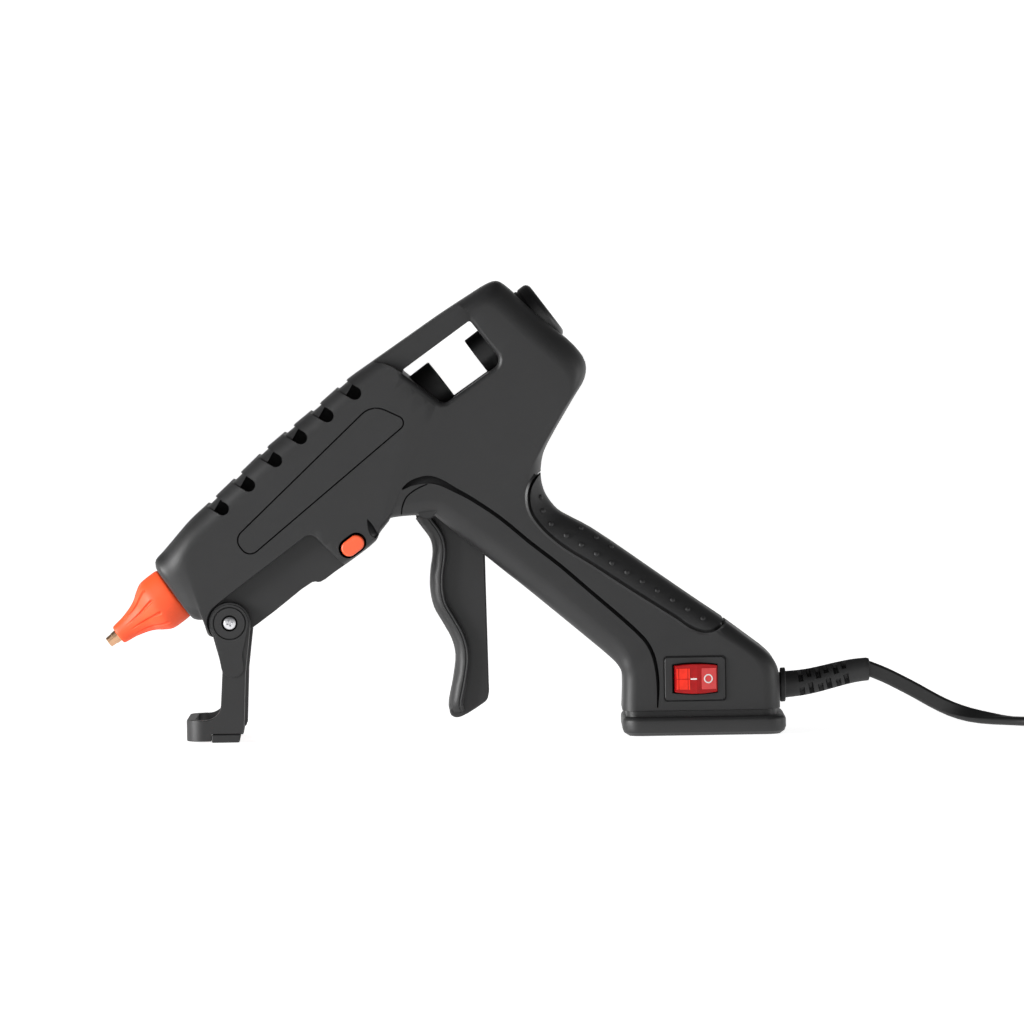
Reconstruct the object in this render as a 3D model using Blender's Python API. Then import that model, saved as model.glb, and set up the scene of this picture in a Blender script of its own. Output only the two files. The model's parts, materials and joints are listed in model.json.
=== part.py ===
"""A trigger-fed hot glue gun on a fold-back stand, modelled as it comes apart on a bench.

Metres, +Z up. The nozzle points towards -X, the left side of the gun is -Y, and the gun stands on Z = 0.
Sizes below are in millimetres, and MM turns them into metres as each object is made.
"""

import math

import bmesh
import bpy
from mathutils import Matrix, Vector

MM = 0.001
GAP = 0.3  # between two pieces that touch

# The glue stick's axis climbs from the nozzle's tip to the rear entry.
TIP = Vector((-114.8, 0, 33.5))
CLIMB = math.radians(36.5)
ALONG = Vector((math.cos(CLIMB), 0, math.sin(CLIMB)))
ABOVE = Vector((-math.sin(CLIMB), 0, math.cos(CLIMB)))
STICK_BORE = 6.2

# The body is a run of rounded sections, each across a chord from its outer edge to its inner edge.
BARREL_HALF = 21.0
NECK_HALF = 16.5
BASE_HALF = 18.0
FLANGE_HALF = 22.5
WALL = 2.4
SECTIONS = [  # outer edge x, z; inner edge x, z; half width; outer and inner corner radius
    (-97.7, 59.7, -87.2, 44.5, 17.0, 5.0, 4.0),
    (-97.6, 62.2, -85.2, 42.2, 19.0, 7.0, 4.5),
    (-94.9, 65.2, -83.2, 41.6, 20.2, 9.0, 5.0),
    (-92.0, 68.5, -81.6, 41.4, 20.8, 9.0, 5.0),
    (-89.5, 71.4, -80.7, 38.6, BARREL_HALF, 9.0, 5.0),
    (-86.2, 75.1, -79.6, 36.1, BARREL_HALF, 9.0, 5.0),
    (-80.1, 80.6, -72.6, 35.2, BARREL_HALF, 9.0, 5.0),
    (-67.0, 92.7, -66.2, 37.9, BARREL_HALF, 9.0, 5.0),
    (-59.4, 99.7, -57.0, 44.5, BARREL_HALF, 9.0, 5.0),
    (-44.6, 111.5, -44.4, 53.9, BARREL_HALF, 9.0, 5.0),
    (-40.0, 115.3, -41.5, 54.0, BARREL_HALF, 9.0, 5.0),
    (-32.1, 122.0, -36.2, 57.6, BARREL_HALF, 9.0, 5.0),
    (-23.9, 127.7, -30.7, 61.3, BARREL_HALF, 9.0, 5.0),
    (-8.2, 138.4, -22.5, 67.6, BARREL_HALF, 9.0, 5.0),
    (-0.4, 143.7, -21.2, 70.2, BARREL_HALF, 9.0, 5.0),
    (9.7, 150.1, -18.0, 74.2, 20.8, 9.0, 5.0),
    (16.0, 153.9, -17.2, 75.3, 20.6, 9.0, 5.0),
    (19.5, 155.0, -13.7, 75.8, 20.4, 9.0, 5.0),
    (22.3, 153.8, -10.1, 76.0, 20.1, 9.0, 5.5),
    (30.0, 146.8, -6.5, 76.0, 19.7, 9.0, 6.0),
    (38.0, 139.7, -3.0, 76.0, 19.3, 9.0, 6.0),
    (46.1, 132.5, -0.5, 74.0, 18.8, 9.0, 6.5),
    (49.7, 127.0, 2.5, 71.5, 18.3, 9.0, 6.5),
    (49.3, 121.5, 5.2, 69.3, 17.9, 9.0, 7.0),
    (46.0, 115.9, 6.6, 68.1, 17.5, 9.0, 7.0),
    (36.7, 100.2, 9.6, 65.7, 16.9, 9.0, 7.0),
    (34.7, 95.6, 10.8, 64.7, 16.7, 9.0, 7.0),
    (33.9, 89.3, 12.9, 63.0, NECK_HALF, 9.0, 7.0),
    (34.7, 83.9, 16.0, 60.5, NECK_HALF, 9.0, 7.0),
    (36.5, 80.2, 18.9, 58.1, NECK_HALF, 9.0, 7.0),
    (39.6, 76.5, 22.3, 55.3, NECK_HALF, 9.0, 7.0),
    (43.2, 74.3, 25.8, 52.5, NECK_HALF, 9.0, 7.0),
    (51.0, 70.0, 32.3, 47.1, NECK_HALF, 9.0, 7.0),
    (73.0, 54.5, 49.6, 32.5, 17.0, 9.0, 7.0),
    (80.0, 49.5, 54.5, 28.3, 17.3, 9.0, 7.0),
    (87.0, 44.5, 58.3, 24.8, 17.6, 8.0, 6.0),
    (94.7, 39.1, 60.0, 22.3, BASE_HALF, 7.0, 5.0),
    (103.0, 32.8, 60.6, 20.0, BASE_HALF, 6.0, 5.0),
    (110.2, 27.1, 60.7, 17.8, BASE_HALF, 6.0, 5.0),
    (112.9, 23.6, 60.7, 15.5, BASE_HALF, 6.0, 5.0),
    (114.0, 19.5, 60.6, 12.8, BASE_HALF, 6.0, 5.0),
    (114.2, 8.4, 60.4, 8.4, BASE_HALF, 6.0, 5.0),
]
FOOT_FLANGE = [  # the groove above the flange, then the flange down to the ground
    (112.9, 8.2, 61.7, 8.2, 16.8, 5.0, 4.0),
    (112.9, 6.3, 61.7, 6.3, 16.8, 5.0, 4.0),
    (115.9, 6.1, 60.3, 6.1, FLANGE_HALF, 7.0, 6.0),
    (116.0, 2.0, 60.5, 2.0, FLANGE_HALF, 7.0, 6.0),
    (114.0, 0.0, 62.5, 0.0, 20.5, 5.0, 4.0),
]
FIRST_HOLLOW = 3  # the nose's first sections stay solid in front of the hollow
HOLLOW_FLOOR = (111.0, 2.6, 63.5, 2.6, 17.0, 4.0, 4.0)

# Openings in the shells.
WINDOW = [(-13.2, 125.0, 1.0), (1.3, 113.6, 3.0), (21.6, 127.7, 3.5), (10.6, 142.0, 1.0)]
WINDOW_WALL = 2.4
VENT_CENTRES = [(-74.9, 79.9), (-65.9, 87.8), (-56.6, 96.0), (-48.0, 103.6), (-38.9, 110.9), (-29.4, 118.4)]
VENT_WIDTH = 3.6
VENT_DROP = 6.5
RECESS_HALF = 16.6
BAR_HALF = 14.0  # the bar over the window is narrower than the body
BAR = [
    (-24.0, 130.0), (-22.0, 128.3), (-18.7, 127.9), (-15.8, 126.7), (-12.8, 124.6), (-6.0, 124.0), (8.0, 133.0),
    (10.9, 141.6), (10.9, 143.8), (9.4, 145.7), (7.1, 147.4), (3.0, 153.0), (-10.0, 160.0), (-30.0, 145.0),
]
SCREWS = [  # x, z, and how far from the parting plane its bosses reach
    (-53.7, 55.1, 15.4), (-20.8, 121.7, 19.6), (41.0, 125.5, 17.2), (26.0, 91.0, 15.4), (55.0, 52.0, 15.4),
    (67.5, 14.8, 16.6), (101.5, 27.0, 16.6),
]

# Rubber grip over the back of the handle.
GRIP_THICK = 1.6
GRIP_EDGE = [
    (33.0, 88.6), (31.2, 86.0), (30.2, 83.0), (30.2, 79.5), (31.2, 76.1), (33.7, 72.4), (37.3, 68.7),
    (42.0, 64.9), (50.5, 59.5), (65.0, 49.8), (80.1, 40.0), (84.2, 37.1), (88.4, 35.6), (92.0, 36.0),
    (95.2, 38.4),
]

# Stand.
STAND_PIVOT = (-72.6, 40.6)
ARM_INSIDE, ARM_OUTSIDE, ARM_BOSS = 16.9, 20.2, 20.9
LOOP_FRONT = -88.0
PAD_HIGH = 2.6

# Trigger and feed.
TRIGGER_PIVOT = (-5.0, 79.0)
TRIGGER_PULL = math.radians(28)
TRIGGER_ARM = 18.0
LINK_LONG = 19.7
CARRIAGE_FRONT, CARRIAGE_REAR = 93.0, 107.0
CARRIAGE_PIN_BELOW = 11.0

# Release button, rocker switch, cord.
BUTTON = (-30.3, 66.3)
BUTTON_POCKET = (-30.4, 66.4)
SWITCH = (85.15, 19.2)
CORD_WIDE, CORD_THICK = 5.2, 3.2
CORD_ROUTE = [
    (145.7, 0.0, 20.2), (150.5, 0.0, 18.2), (156.0, 0.0, 15.4), (161.5, 0.0, 12.4), (167.0, 0.0, 9.2),
    (173.0, 0.0, 6.2), (179.5, -0.1, 4.0), (187.0, -0.5, 2.9), (194.0, -1.6, 2.7), (201.0, -4.2, 2.8),
    (204.8, -6.4, 3.2),
]
COIL_CENTRE = Vector((243.0, 0.0, 0.0))
COIL_INNER, COIL_OUTER = 21.0, 37.8
COIL_LOW, COIL_HIGH = 1.5, 12.3
PLUG_LOW = COIL_HIGH + GAP
CORD_BEND = 20.0


def clear_scene():
    for obj in list(bpy.data.objects):
        bpy.data.objects.remove(obj, do_unlink=True)


def material(name, colour, roughness, metallic=0.0):
    made = bpy.data.materials.new(name)
    made.use_nodes = True
    shader = made.node_tree.nodes["Principled BSDF"]
    shader.inputs["Base Color"].default_value = (*colour, 1.0)
    shader.inputs["Roughness"].default_value = roughness
    shader.inputs["Metallic"].default_value = metallic
    return made


# Placing.


def flat(x, z, y=0.0):
    """A point given by its place in the side view."""
    return Vector((x, y, z))


def stick(along, above=0.0, y=0.0):
    """A point by its distance along the stick's axis from the tip, and its height above that axis."""
    return TIP + ALONG * along + ABOVE * above + Vector((0, y, 0))


def stick_frame(along=0.0, above=0.0, y=0.0):
    """Local Z runs rearwards along the stick's axis, and local X points above it."""
    turn = Matrix((ABOVE, Vector((0, -1, 0)), ALONG)).transposed().to_4x4()
    return Matrix.Translation(stick(along, above, y)) @ turn


def cross_frame(x, z, y=0.0):
    """Local Z runs along +Y."""
    return Matrix.Translation((x, y, z)) @ Matrix.Rotation(-math.pi / 2, 4, "X")


def at(x, y, z):
    return Matrix.Translation((x, y, z))


# Outlines.


def rounded(corners, steps=4):
    """An outline from (a, b, radius) corners, each turned into an arc."""
    outline = []
    for i, (a, b, radius) in enumerate(corners):
        here = Vector((a, b))
        before = (Vector(corners[i - 1][:2]) - here).normalized()
        after = (Vector(corners[(i + 1) % len(corners)][:2]) - here).normalized()
        if radius <= 0:
            outline.append((a, b))
            continue
        half = before.angle(after) / 2
        centre = here + (before + after).normalized() * (radius / math.sin(half))
        start = here + before * (radius / math.tan(half)) - centre
        end = here + after * (radius / math.tan(half)) - centre
        for step in range(steps + 1):
            point = start.normalized().slerp(end.normalized(), step / steps) * radius
            outline.append(tuple(centre + point))
    return outline


def grown(corners, by):
    """The same corners, moved outwards from the middle of the outline."""
    middle = sum((Vector(c[:2]) for c in corners), Vector((0, 0))) / len(corners)
    moved = []
    for a, b, radius in corners:
        out = (Vector((a, b)) - middle).normalized() * by * 1.4
        moved.append((a + out.x, b + out.y, radius + by))
    return moved


def pill(a, b, length, width, angle, steps=6):
    """A slot's outline with round ends, turned by an angle."""
    radius, reach = width / 2, (length - width) / 2
    outline = []
    for end, start in ((1, -math.pi / 2), (-1, math.pi / 2)):
        for i in range(steps + 1):
            turn = start + math.pi * i / steps
            x = end * reach + radius * math.cos(turn)
            z = radius * math.sin(turn)
            outline.append((
                a + x * math.cos(angle) - z * math.sin(angle),
                b + x * math.sin(angle) + z * math.cos(angle),
            ))
    return outline


def smooth_route(points, gap):
    """Points every gap along a smooth curve through the route's own points."""
    ends = [points[0] * 2 - points[1], *points, points[-1] * 2 - points[-2]]
    fine = []
    for a, b, c, d in zip(ends, ends[1:], ends[2:], ends[3:]):
        for i in range(16):
            t = i / 16
            fine.append(0.5 * (2 * b + (c - a) * t + (2 * a - 5 * b + 4 * c - d) * t**2
                               + (3 * b - a - 3 * c + d) * t**3))
    fine.append(points[-1])
    kept, since = [fine[0]], 0.0
    for last, point in zip(fine, fine[1:]):
        since += (point - last).length
        if since >= gap:
            kept.append(point)
            since = 0.0
    kept[-1] = points[-1]
    return kept


# Solids.


def solid(name, vertices, faces, look, place=Matrix.Identity(4)):
    """An object from millimetre points in its own frame."""
    mesh = bpy.data.meshes.new(name)
    mesh.from_pydata([Vector(v) * MM for v in vertices], [], faces)
    work = bmesh.new()
    work.from_mesh(mesh)
    bmesh.ops.recalc_face_normals(work, faces=work.faces)
    work.to_mesh(mesh)
    work.free()
    mesh.shade_smooth()
    mesh.set_sharp_from_angle(angle=math.radians(35))
    obj = bpy.data.objects.new(name, mesh)
    obj.location = place.to_translation() * MM
    obj.rotation_euler = place.to_euler()
    if look is None:
        obj.hide_render = True
        obj.display_type = "WIRE"
    else:
        mesh.materials.append(look)
    bpy.context.scene.collection.objects.link(obj)
    return obj


def skin(rings, closed):
    """Faces between rings of equal count, closed into a loop or capped at both ends."""
    count = len(rings[0])
    vertices = [point for ring in rings for point in ring]
    faces = []
    for i in range(len(rings) if closed else len(rings) - 1):
        a, b = i * count, (i + 1) % len(rings) * count
        for j in range(count):
            k = (j + 1) % count
            faces.append((a + j, a + k, b + k, b + j))
    if not closed:
        faces.append(tuple(range(count)))
        faces.append(tuple(range((len(rings) - 1) * count, len(rings) * count)))
    return vertices, faces


def loft(name, rings, look):
    """A skin over rings of points, in triangles because its faces twist."""
    obj = solid(name, *skin(rings, closed=False), look)
    work = bmesh.new()
    work.from_mesh(obj.data)
    bmesh.ops.triangulate(work, faces=work.faces)
    work.to_mesh(obj.data)
    work.free()
    return obj


def turned(name, profile, look, place, segments=24, bored=True):
    """A turned piece from (along, radius) points. A bored one's profile closes on itself."""
    rings = []
    for along, radius in profile:
        rings.append([
            (radius * math.cos(2 * math.pi * i / segments), radius * math.sin(2 * math.pi * i / segments), along)
            for i in range(segments)
        ])
    return solid(name, *skin(rings, closed=bored), look, place)


def prism(name, outline, y_from, y_to, look, pivot=(0.0, 0.0)):
    """A side-view outline given a thickness in Y, with its origin at the pivot."""
    rings = [[(a - pivot[0], y, b - pivot[1]) for a, b in outline] for y in (y_from, y_to)]
    return solid(name, *skin(rings, closed=False), look, at(pivot[0], 0, pivot[1]))


def slab(name, outline, z_from, z_to, look, pivot=(0.0, 0.0, 0.0)):
    """A plan outline given a height."""
    rings = [[(a - pivot[0], b - pivot[1], z - pivot[2]) for a, b in outline] for z in (z_from, z_to)]
    return solid(name, *skin(rings, closed=False), look, at(*pivot))


def block(name, low, high, look, pivot=(0.0, 0.0, 0.0)):
    outline = [(low[0], low[1]), (high[0], low[1]), (high[0], high[1]), (low[0], high[1])]
    return slab(name, outline, low[2], high[2], look, pivot)


def pin(name, x, z, radius, y_from, y_to, look, segments=16):
    return turned(name, [(y_from, radius), (y_to, radius)], look, cross_frame(x, z), segments, bored=False)


def tube(name, points, radius, look, sides=2):
    """A round wire or cord along a smooth line."""
    curve = bpy.data.curves.new(name, "CURVE")
    curve.dimensions = "3D"
    curve.bevel_depth = radius * MM
    curve.bevel_resolution = sides
    curve.use_fill_caps = True
    spline = curve.splines.new("POLY")
    spline.points.add(len(points) - 1)
    for target, point in zip(spline.points, points):
        target.co = (*(point * MM), 1.0)
    curve.materials.append(look)
    obj = bpy.data.objects.new(name, curve)
    bpy.context.scene.collection.objects.link(obj)
    return obj


def combine(obj, other, operation):
    modifier = obj.modifiers.new(f"{operation.lower()} {other.name}", "BOOLEAN")
    modifier.operation = operation
    modifier.object = other
    return obj


def combine_all(obj, others, operation):
    """One Boolean with a group of solids, which keeps its result cleaner than a chain of them."""
    group = bpy.data.collections.new(f"{obj.name} {operation.lower()}")
    group.hide_render = True
    bpy.context.scene.collection.children.link(group)
    for other in others:
        group.objects.link(other)
    modifier = obj.modifiers.new(group.name, "BOOLEAN")
    modifier.operation = operation
    modifier.operand_type = "COLLECTION"
    modifier.collection = group
    return obj


def weld(obj):
    """Joins the points that a Boolean left almost on each other."""
    modifier = obj.modifiers.new("weld", "WELD")
    modifier.merge_threshold = 0.02 * MM
    return obj


def cut(obj, *cutters):
    for cutter in cutters:
        combine(obj, cutter, "DIFFERENCE")
    return obj


def add(obj, *pieces):
    for piece in pieces:
        combine(obj, piece, "UNION")
    return obj


def bevel(obj, width, segments=1, limit=40):
    modifier = obj.modifiers.new("rounded edges", "BEVEL")
    modifier.width = width * MM
    modifier.segments = segments
    modifier.limit_method = "ANGLE"
    modifier.angle_limit = math.radians(limit)
    return obj


def held_by(parent, *pieces):
    """Parents the pieces to an empty on their joint's axis, without moving them."""
    for piece in pieces:
        piece.parent = parent
        piece.matrix_parent_inverse = Matrix.Translation(parent.location).inverted()


def joint_empty(name, point):
    empty = bpy.data.objects.new(name, None)
    empty.location = point * MM
    bpy.context.scene.collection.objects.link(empty)
    return empty


# The body's sections.


def arc(centre, radius, start, end, steps):
    points = []
    for i in range(steps + 1):
        turn = math.radians(start + (end - start) * i / steps)
        points.append((centre[0] + radius * math.cos(turn), centre[1] + radius * math.sin(turn)))
    return points


def half_ring(section, inset, steps=3):
    """(point, y) pairs round one half of a section, from its outer edge to its inner edge."""
    ox, oz, ix, iz, half, outer_round, inner_round = section
    outer, inner = flat(ox, oz), flat(ix, iz)
    across = (inner - outer).normalized()
    depth = (inner - outer).length
    ro, ri = max(outer_round - inset, 0.8), max(inner_round - inset, 0.8)
    half -= inset
    places = [(inset, 0.0)]
    places += arc((inset + ro, half - ro), ro, 180, 90, steps)
    places += arc((depth - inset - ri, half - ri), ri, 90, 0, steps)
    places.append((depth - inset, 0.0))
    return [(outer + across * down, y) for down, y in places]


def half_body(name, side, look):
    """One half of the body, solid, from the nose to the ground."""
    rings = []
    for section in SECTIONS + FOOT_FLANGE:
        ring = [point + Vector((0, side * max(y, GAP / 2), 0)) for point, y in half_ring(section, 0.0)]
        rings.append(ring)
    return loft(name, rings, look)


def whole_body(name, sections, inset, steps=3):
    """Both halves in one solid, shrunk by an inset."""
    rings = []
    for section in sections:
        half = half_ring(section, inset, steps)
        far = [point + Vector((0, y, 0)) for point, y in half]
        near = [point - Vector((0, y, 0)) for point, y in half[-2:0:-1]]
        rings.append(far + near)
    return loft(name, rings, None)


def hollow_sections():
    """The body's sections for its hollow, drawn in where the grip is let into the wall."""
    chosen = []
    for section in SECTIONS[FIRST_HOLLOW:]:
        ox, oz, ix, iz, half, outer_round, inner_round = section
        if 36.0 < oz < 90.0:
            across = (flat(ix, iz) - flat(ox, oz)).normalized() * GRIP_THICK
            ox, oz, half = ox + across.x, oz + across.z, half - GRIP_THICK
        chosen.append((ox, oz, ix, iz, half, outer_round, inner_round))
    return [*chosen, HOLLOW_FLOOR]


# Cutters for the shells.


def recess_outline(clear):
    """The hollow in the body's side that the folded stand lies in, grown by a clearance."""
    x, z = STAND_PIVOT
    round_pivot = arc((x, z), 7.6 + clear, 235, 128, 6)
    slope = [(-69.2 - clear * 0.6, 52.8 + clear * 0.8)]
    corner = rounded([
        (-69.2 - clear * 0.6, 52.8 + clear * 0.8, 0), (-44.6 + clear * 0.3, 71.0 + clear, 3.0),
        (-30.0 + clear, 56.5 + clear, 0),
    ])[1:]
    return round_pivot + slope + corner + [(-30.0, 40.0), (-60.0, 25.0), (x - 2.0, 25.0)]


def side_prisms(name, outline, half):
    """The same outline on both sides of the body, from a half width outwards."""
    return [
        prism(f"{name}_{mark}", outline, *sorted((side * half, side * 30.0)), None)
        for mark, side in (("left", -1), ("right", 1))
    ]


def recess_cutters():
    return side_prisms("recess_cutter", recess_outline(0.0), RECESS_HALF)


def body_hollow():
    """The space inside the shells, less the walls round the window and behind the stand's recess."""
    hollow = whole_body("hollow", hollow_sections(), WALL, 1)
    window_block = prism("window_block", rounded(grown(WINDOW, WINDOW_WALL), 2), -30.0, 30.0, None)
    walls = side_prisms("recess_wall", recess_outline(WALL), RECESS_HALF - WALL)
    bar_walls = side_prisms("bar_wall", rounded(grown([(*point, 0.0) for point in BAR], WALL), 1),
                            BAR_HALF - WALL)
    return cut(hollow, window_block, *walls, *bar_walls)


def bore_cutters():
    """Room along the stick's axis for the nozzle, chamber, sleeves and entry ring."""
    runs = [
        ("nozzle", 20.0, 33.0, 8.3), ("chamber", 32.0, 76.0, 10.6), ("sleeve", 123.0, 150.0, 10.1),
        ("guide", 150.0, 181.0, 8.4), ("ring", 176.6, 205.0, 11.1),
    ]
    return [
        turned(f"bore_{name}", [(low, radius), (high, radius)], None, stick_frame(), 20, bored=False)
        for name, low, high, radius in runs
    ]


def vent_cutters(side):
    """Slots through the top shoulder, with a rib left along the parting line."""
    cutters = []
    for i, (x, z) in enumerate(VENT_CENTRES):
        centre = flat(x, z)
        along = (centre - TIP).dot(ALONG)
        above = (centre - TIP).dot(ABOVE)
        half = VENT_WIDTH / 2
        corners = [(along - half, above - VENT_DROP), (along + half, above - VENT_DROP),
                   (along + half, above + 6.0), (along - half, above + 6.0)]
        outline = [(stick(a, n).x, stick(a, n).z) for a, n in corners]
        low, high = sorted((side * 2.2, side * 30.0))
        cutters.append(prism(f"vent_{i + 1}_{'left' if side < 0 else 'right'}", outline, low, high, None))
    return cutters


def trigger_cutter():
    """The slot that the trigger swings in: wide for its finger strip, narrow for its web."""
    wide = prism("trigger_slot_wide", [(-10.6, 70.0), (-10.6, 82.0), (8.0, 82.0), (12.5, 70.0), (12.5, 56.0)],
                 -8.8, 8.8, None)
    narrow = prism("trigger_slot_narrow", [(0.0, 60.0), (0.0, 84.0), (22.0, 70.0), (41.0, 50.5), (36.0, 38.0)],
                   -5.6, 5.6, None)
    return [wide, narrow]


def screw_bosses(side):
    name = "left" if side < 0 else "right"
    radius = 3.4 if side < 0 else 4.4
    return [
        pin(f"boss_{i + 1}_{name}", x, z, radius, *sorted((side * 0.5, side * reach)), None, 10)
        for i, (x, z, reach) in enumerate(SCREWS)
    ]


def screw_holes(side):
    holes = []
    for i, (x, z, _) in enumerate(SCREWS):
        if side < 0:
            holes.append(pin(f"hole_{i + 1}_left", x, z, 1.75, -12.6, 1.0, None, 10))
            continue
        profile = [(-1.0, 1.75), (8.0, 1.75), (8.0, 3.0), (30.0, 3.0)]
        holes.append(turned(f"hole_{i + 1}_right", profile, None, cross_frame(x, z), 10, bored=False))
    return holes


def grip_outline(grow):
    """The grip's edge in the side view, closed well outside the back of the handle."""
    edge = [Vector(point) for point in GRIP_EDGE]
    outline = []
    for before, here, after in zip([edge[0], *edge], edge, [*edge[1:], edge[-1]]):
        run = (after - before).normalized()
        outline.append(tuple(here + Vector((run.y, -run.x)) * grow))
    return outline + [(104.0, 50.0), (60.0, 84.0), (40.0, 94.0)]


def grip_pocket():
    pocket = prism("grip_pocket", grip_outline(GAP), -30.0, 30.0, None)
    core = whole_body("grip_core_deep", SECTIONS, GRIP_THICK + GAP)
    return cut(pocket, core)


def shell(name, side, look, hollow, recesses, bars, shared):
    """One half shell with its bosses, sockets and openings."""
    half = weld(cut(half_body(name, side, look), hollow))
    pivot_x, pivot_z = TRIGGER_PIVOT
    stand_x, stand_z = STAND_PIVOT
    mark = "left" if side < 0 else "right"
    bosses = [
        *screw_bosses(side),
        pin(f"trigger_boss_{mark}", pivot_x, pivot_z, 3.8, *sorted((side * 9.2, side * 17.5)), None, 16),
        pin(f"stand_boss_{mark}", stand_x, stand_z, 4.4, *sorted((side * 9.5, side * 16.0)), None, 16),
    ]
    weld(combine_all(half, bosses, "UNION"))
    openings = [
        *screw_holes(side),
        pin(f"trigger_hole_{mark}", pivot_x, pivot_z, 2.3, *sorted((side * 5.0, side * 14.6)), None, 16),
        pin(f"stand_hole_{mark}", stand_x, stand_z, 1.65, *sorted((side * 8.0, side * 30.0)), None, 16),
        recesses[0 if side < 0 else 1],
        bars[0 if side < 0 else 1],
        *vent_cutters(side),
        *shared,
    ]
    return combine_all(half, openings, "DIFFERENCE")


def shells(look):
    hollow = body_hollow()
    recesses = recess_cutters()
    bars = side_prisms("bar_cutter", BAR, BAR_HALF)
    rear = Matrix.Translation((0, 0, 15.4)) @ Matrix.Rotation(math.pi / 2, 4, "Y")
    shared = [
        *bore_cutters(),
        *trigger_cutter(),
        grip_pocket(),
        prism("window_cutter", rounded(WINDOW), -40.0, 40.0, None),
        turned("relief_cutter", [(104.0, 5.0), (130.0, 5.0)], None, rear, 24, bored=False),
    ]
    only_left = [
        prism("button_cutter", pill(*BUTTON_POCKET, 9.8, 6.2, CLIMB), -30.0, -7.0, None),
        block("switch_cutter", (75.9, -30.0, 12.7), (94.4, -10.0, 25.7), None),
    ]
    left = shell("left_shell", -1, look, hollow, recesses, bars, shared + only_left)
    right = shell("right_shell", 1, look, hollow, recesses, bars, shared)
    return left, right


def grip(look):
    piece = prism("rubber_grip", grip_outline(0.0), -30.0, 30.0, look)
    combine(piece, whole_body("grip_skin", SECTIONS, 0.0), "INTERSECT")
    return cut(piece, whole_body("grip_core", SECTIONS, GRIP_THICK))


def shell_screws(look):
    profile = [(-11.8, 1.3), (8.3, 1.3), (8.3, 2.6), (9.9, 2.6), (10.4, 2.0)]
    for i, (x, z, _) in enumerate(SCREWS):
        turned(f"shell_screw_{i + 1}", profile, look, cross_frame(x, z), 10, bored=False)


# Hot end.


def nozzle(look):
    profile = [
        (0.0, 0.9), (0.0, 1.8), (2.3, 2.05), (9.0, 2.4), (13.0, 3.2), (20.0, 5.6), (30.5, 5.6), (30.5, 4.5),
        (38.0, 4.5), (38.0, 2.0), (12.0, 2.0), (8.0, 0.9),
    ]
    return turned("nozzle", profile, look, stick_frame())


def nozzle_sleeve(look):
    profile = [
        (4.2, 2.7), (4.2, 3.1), (4.6, 3.4), (9.0, 4.1), (13.2, 5.3), (15.6, 6.4), (18.0, 8.1), (20.6, 9.5),
        (24.0, 9.8), (27.8, 9.6), (28.3, 9.2), (28.3, 6.0), (20.0, 6.0), (13.0, 3.7), (9.0, 2.8),
    ]
    return turned("nozzle_sleeve", profile, look, stick_frame())


def hot_end(aluminium, ceramic, steel, mica):
    turned("front_ring", [(29.6, 5.9), (29.6, 8.0), (32.5, 8.0), (32.5, 5.9)], ceramic, stick_frame())
    turned("melt_chamber", [
        (33.0, 4.8), (33.0, 7.4), (36.0, 7.4), (36.0, 8.4), (72.0, 8.4), (72.0, 5.8), (38.6, 5.8), (38.6, 4.8),
    ], aluminium, stick_frame())
    heater = solid("heater_element", *skin([
        [stick(a, n, y) for a, n in ((46.0, -8.8), (66.0, -8.8), (66.0, -12.3), (46.0, -12.3))]
        for y in (-5.0, 5.0)
    ], closed=False), ceramic)
    bevel(heater, 0.4)
    turned("chamber_clip", [(72.3, 6.4), (72.3, 12.0), (73.9, 12.0), (73.9, 6.4)], steel, stick_frame())
    spread = [-75 + 150 * i / 10 for i in range(11)]
    profile = [(9.5 * math.cos(math.radians(a)), 9.5 * math.sin(math.radians(a))) for a in spread]
    profile += [(8.9 * math.cos(math.radians(a)), 8.9 * math.sin(math.radians(a))) for a in reversed(spread)]
    solid("heat_shield", *skin([
        [stick(along, n, y) for n, y in profile] for along in (42.0, 70.0)
    ], closed=False), mica)
    turned("thermal_fuse", [(44.5, 1.2), (56.5, 1.2)], steel, stick_frame(0, -14.2, -3.0), 10, bored=False)


def stick_guides(rubber, plastic):
    turned("inlet_sleeve", [
        (124.2, STICK_BORE), (124.2, 9.0), (125.4, 9.8), (145.2, 9.8), (145.2, 7.6), (142.0, STICK_BORE),
    ], rubber, stick_frame(), 28)
    turned("rear_guide", [
        (159.4, 7.0), (159.4, 8.1), (176.3, 8.1), (176.3, STICK_BORE), (161.5, STICK_BORE),
    ], plastic, stick_frame(), 28)
    turned("entry_ring", [
        (177.0, 6.6), (177.0, 10.8), (186.8, 10.8), (188.1, 10.1), (188.5, 9.0), (188.5, 7.6), (186.6, 6.6),
    ], plastic, stick_frame(), 32)


# Trigger and feed.


def trigger_web():
    """The trigger's side outline: finger edge, tip, back edge, then the top that runs into the body."""
    front = [
        (-8.9, 78.6), (-8.7, 74.2), (-6.4, 71.0), (-3.8, 67.1), (-3.15, 63.0), (-4.0, 56.5), (-4.2, 50.6),
        (-3.0, 44.1), (0.2, 38.2), (3.0, 32.8), (4.1, 27.5), (3.2, 19.9), (1.5, 10.5), (1.7, 7.6), (3.2, 6.3),
        (5.5, 6.5), (12.2, 10.4), (14.4, 12.2), (15.1, 14.9),
    ]
    return front + [(14.4, 61.8), (14.0, 72.0), (6.0, 80.5), (-1.0, 82.5)]


def finger_strip():
    """The wide strip along the finger edge, about 4 mm deep."""
    front = [(x - 0.4, z) for x, z in trigger_web()[3:12]]
    back = [(x + 4.4, z + (0.3 if z > 50 else 1.1)) for x, z in reversed(front)]
    return front + back


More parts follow.
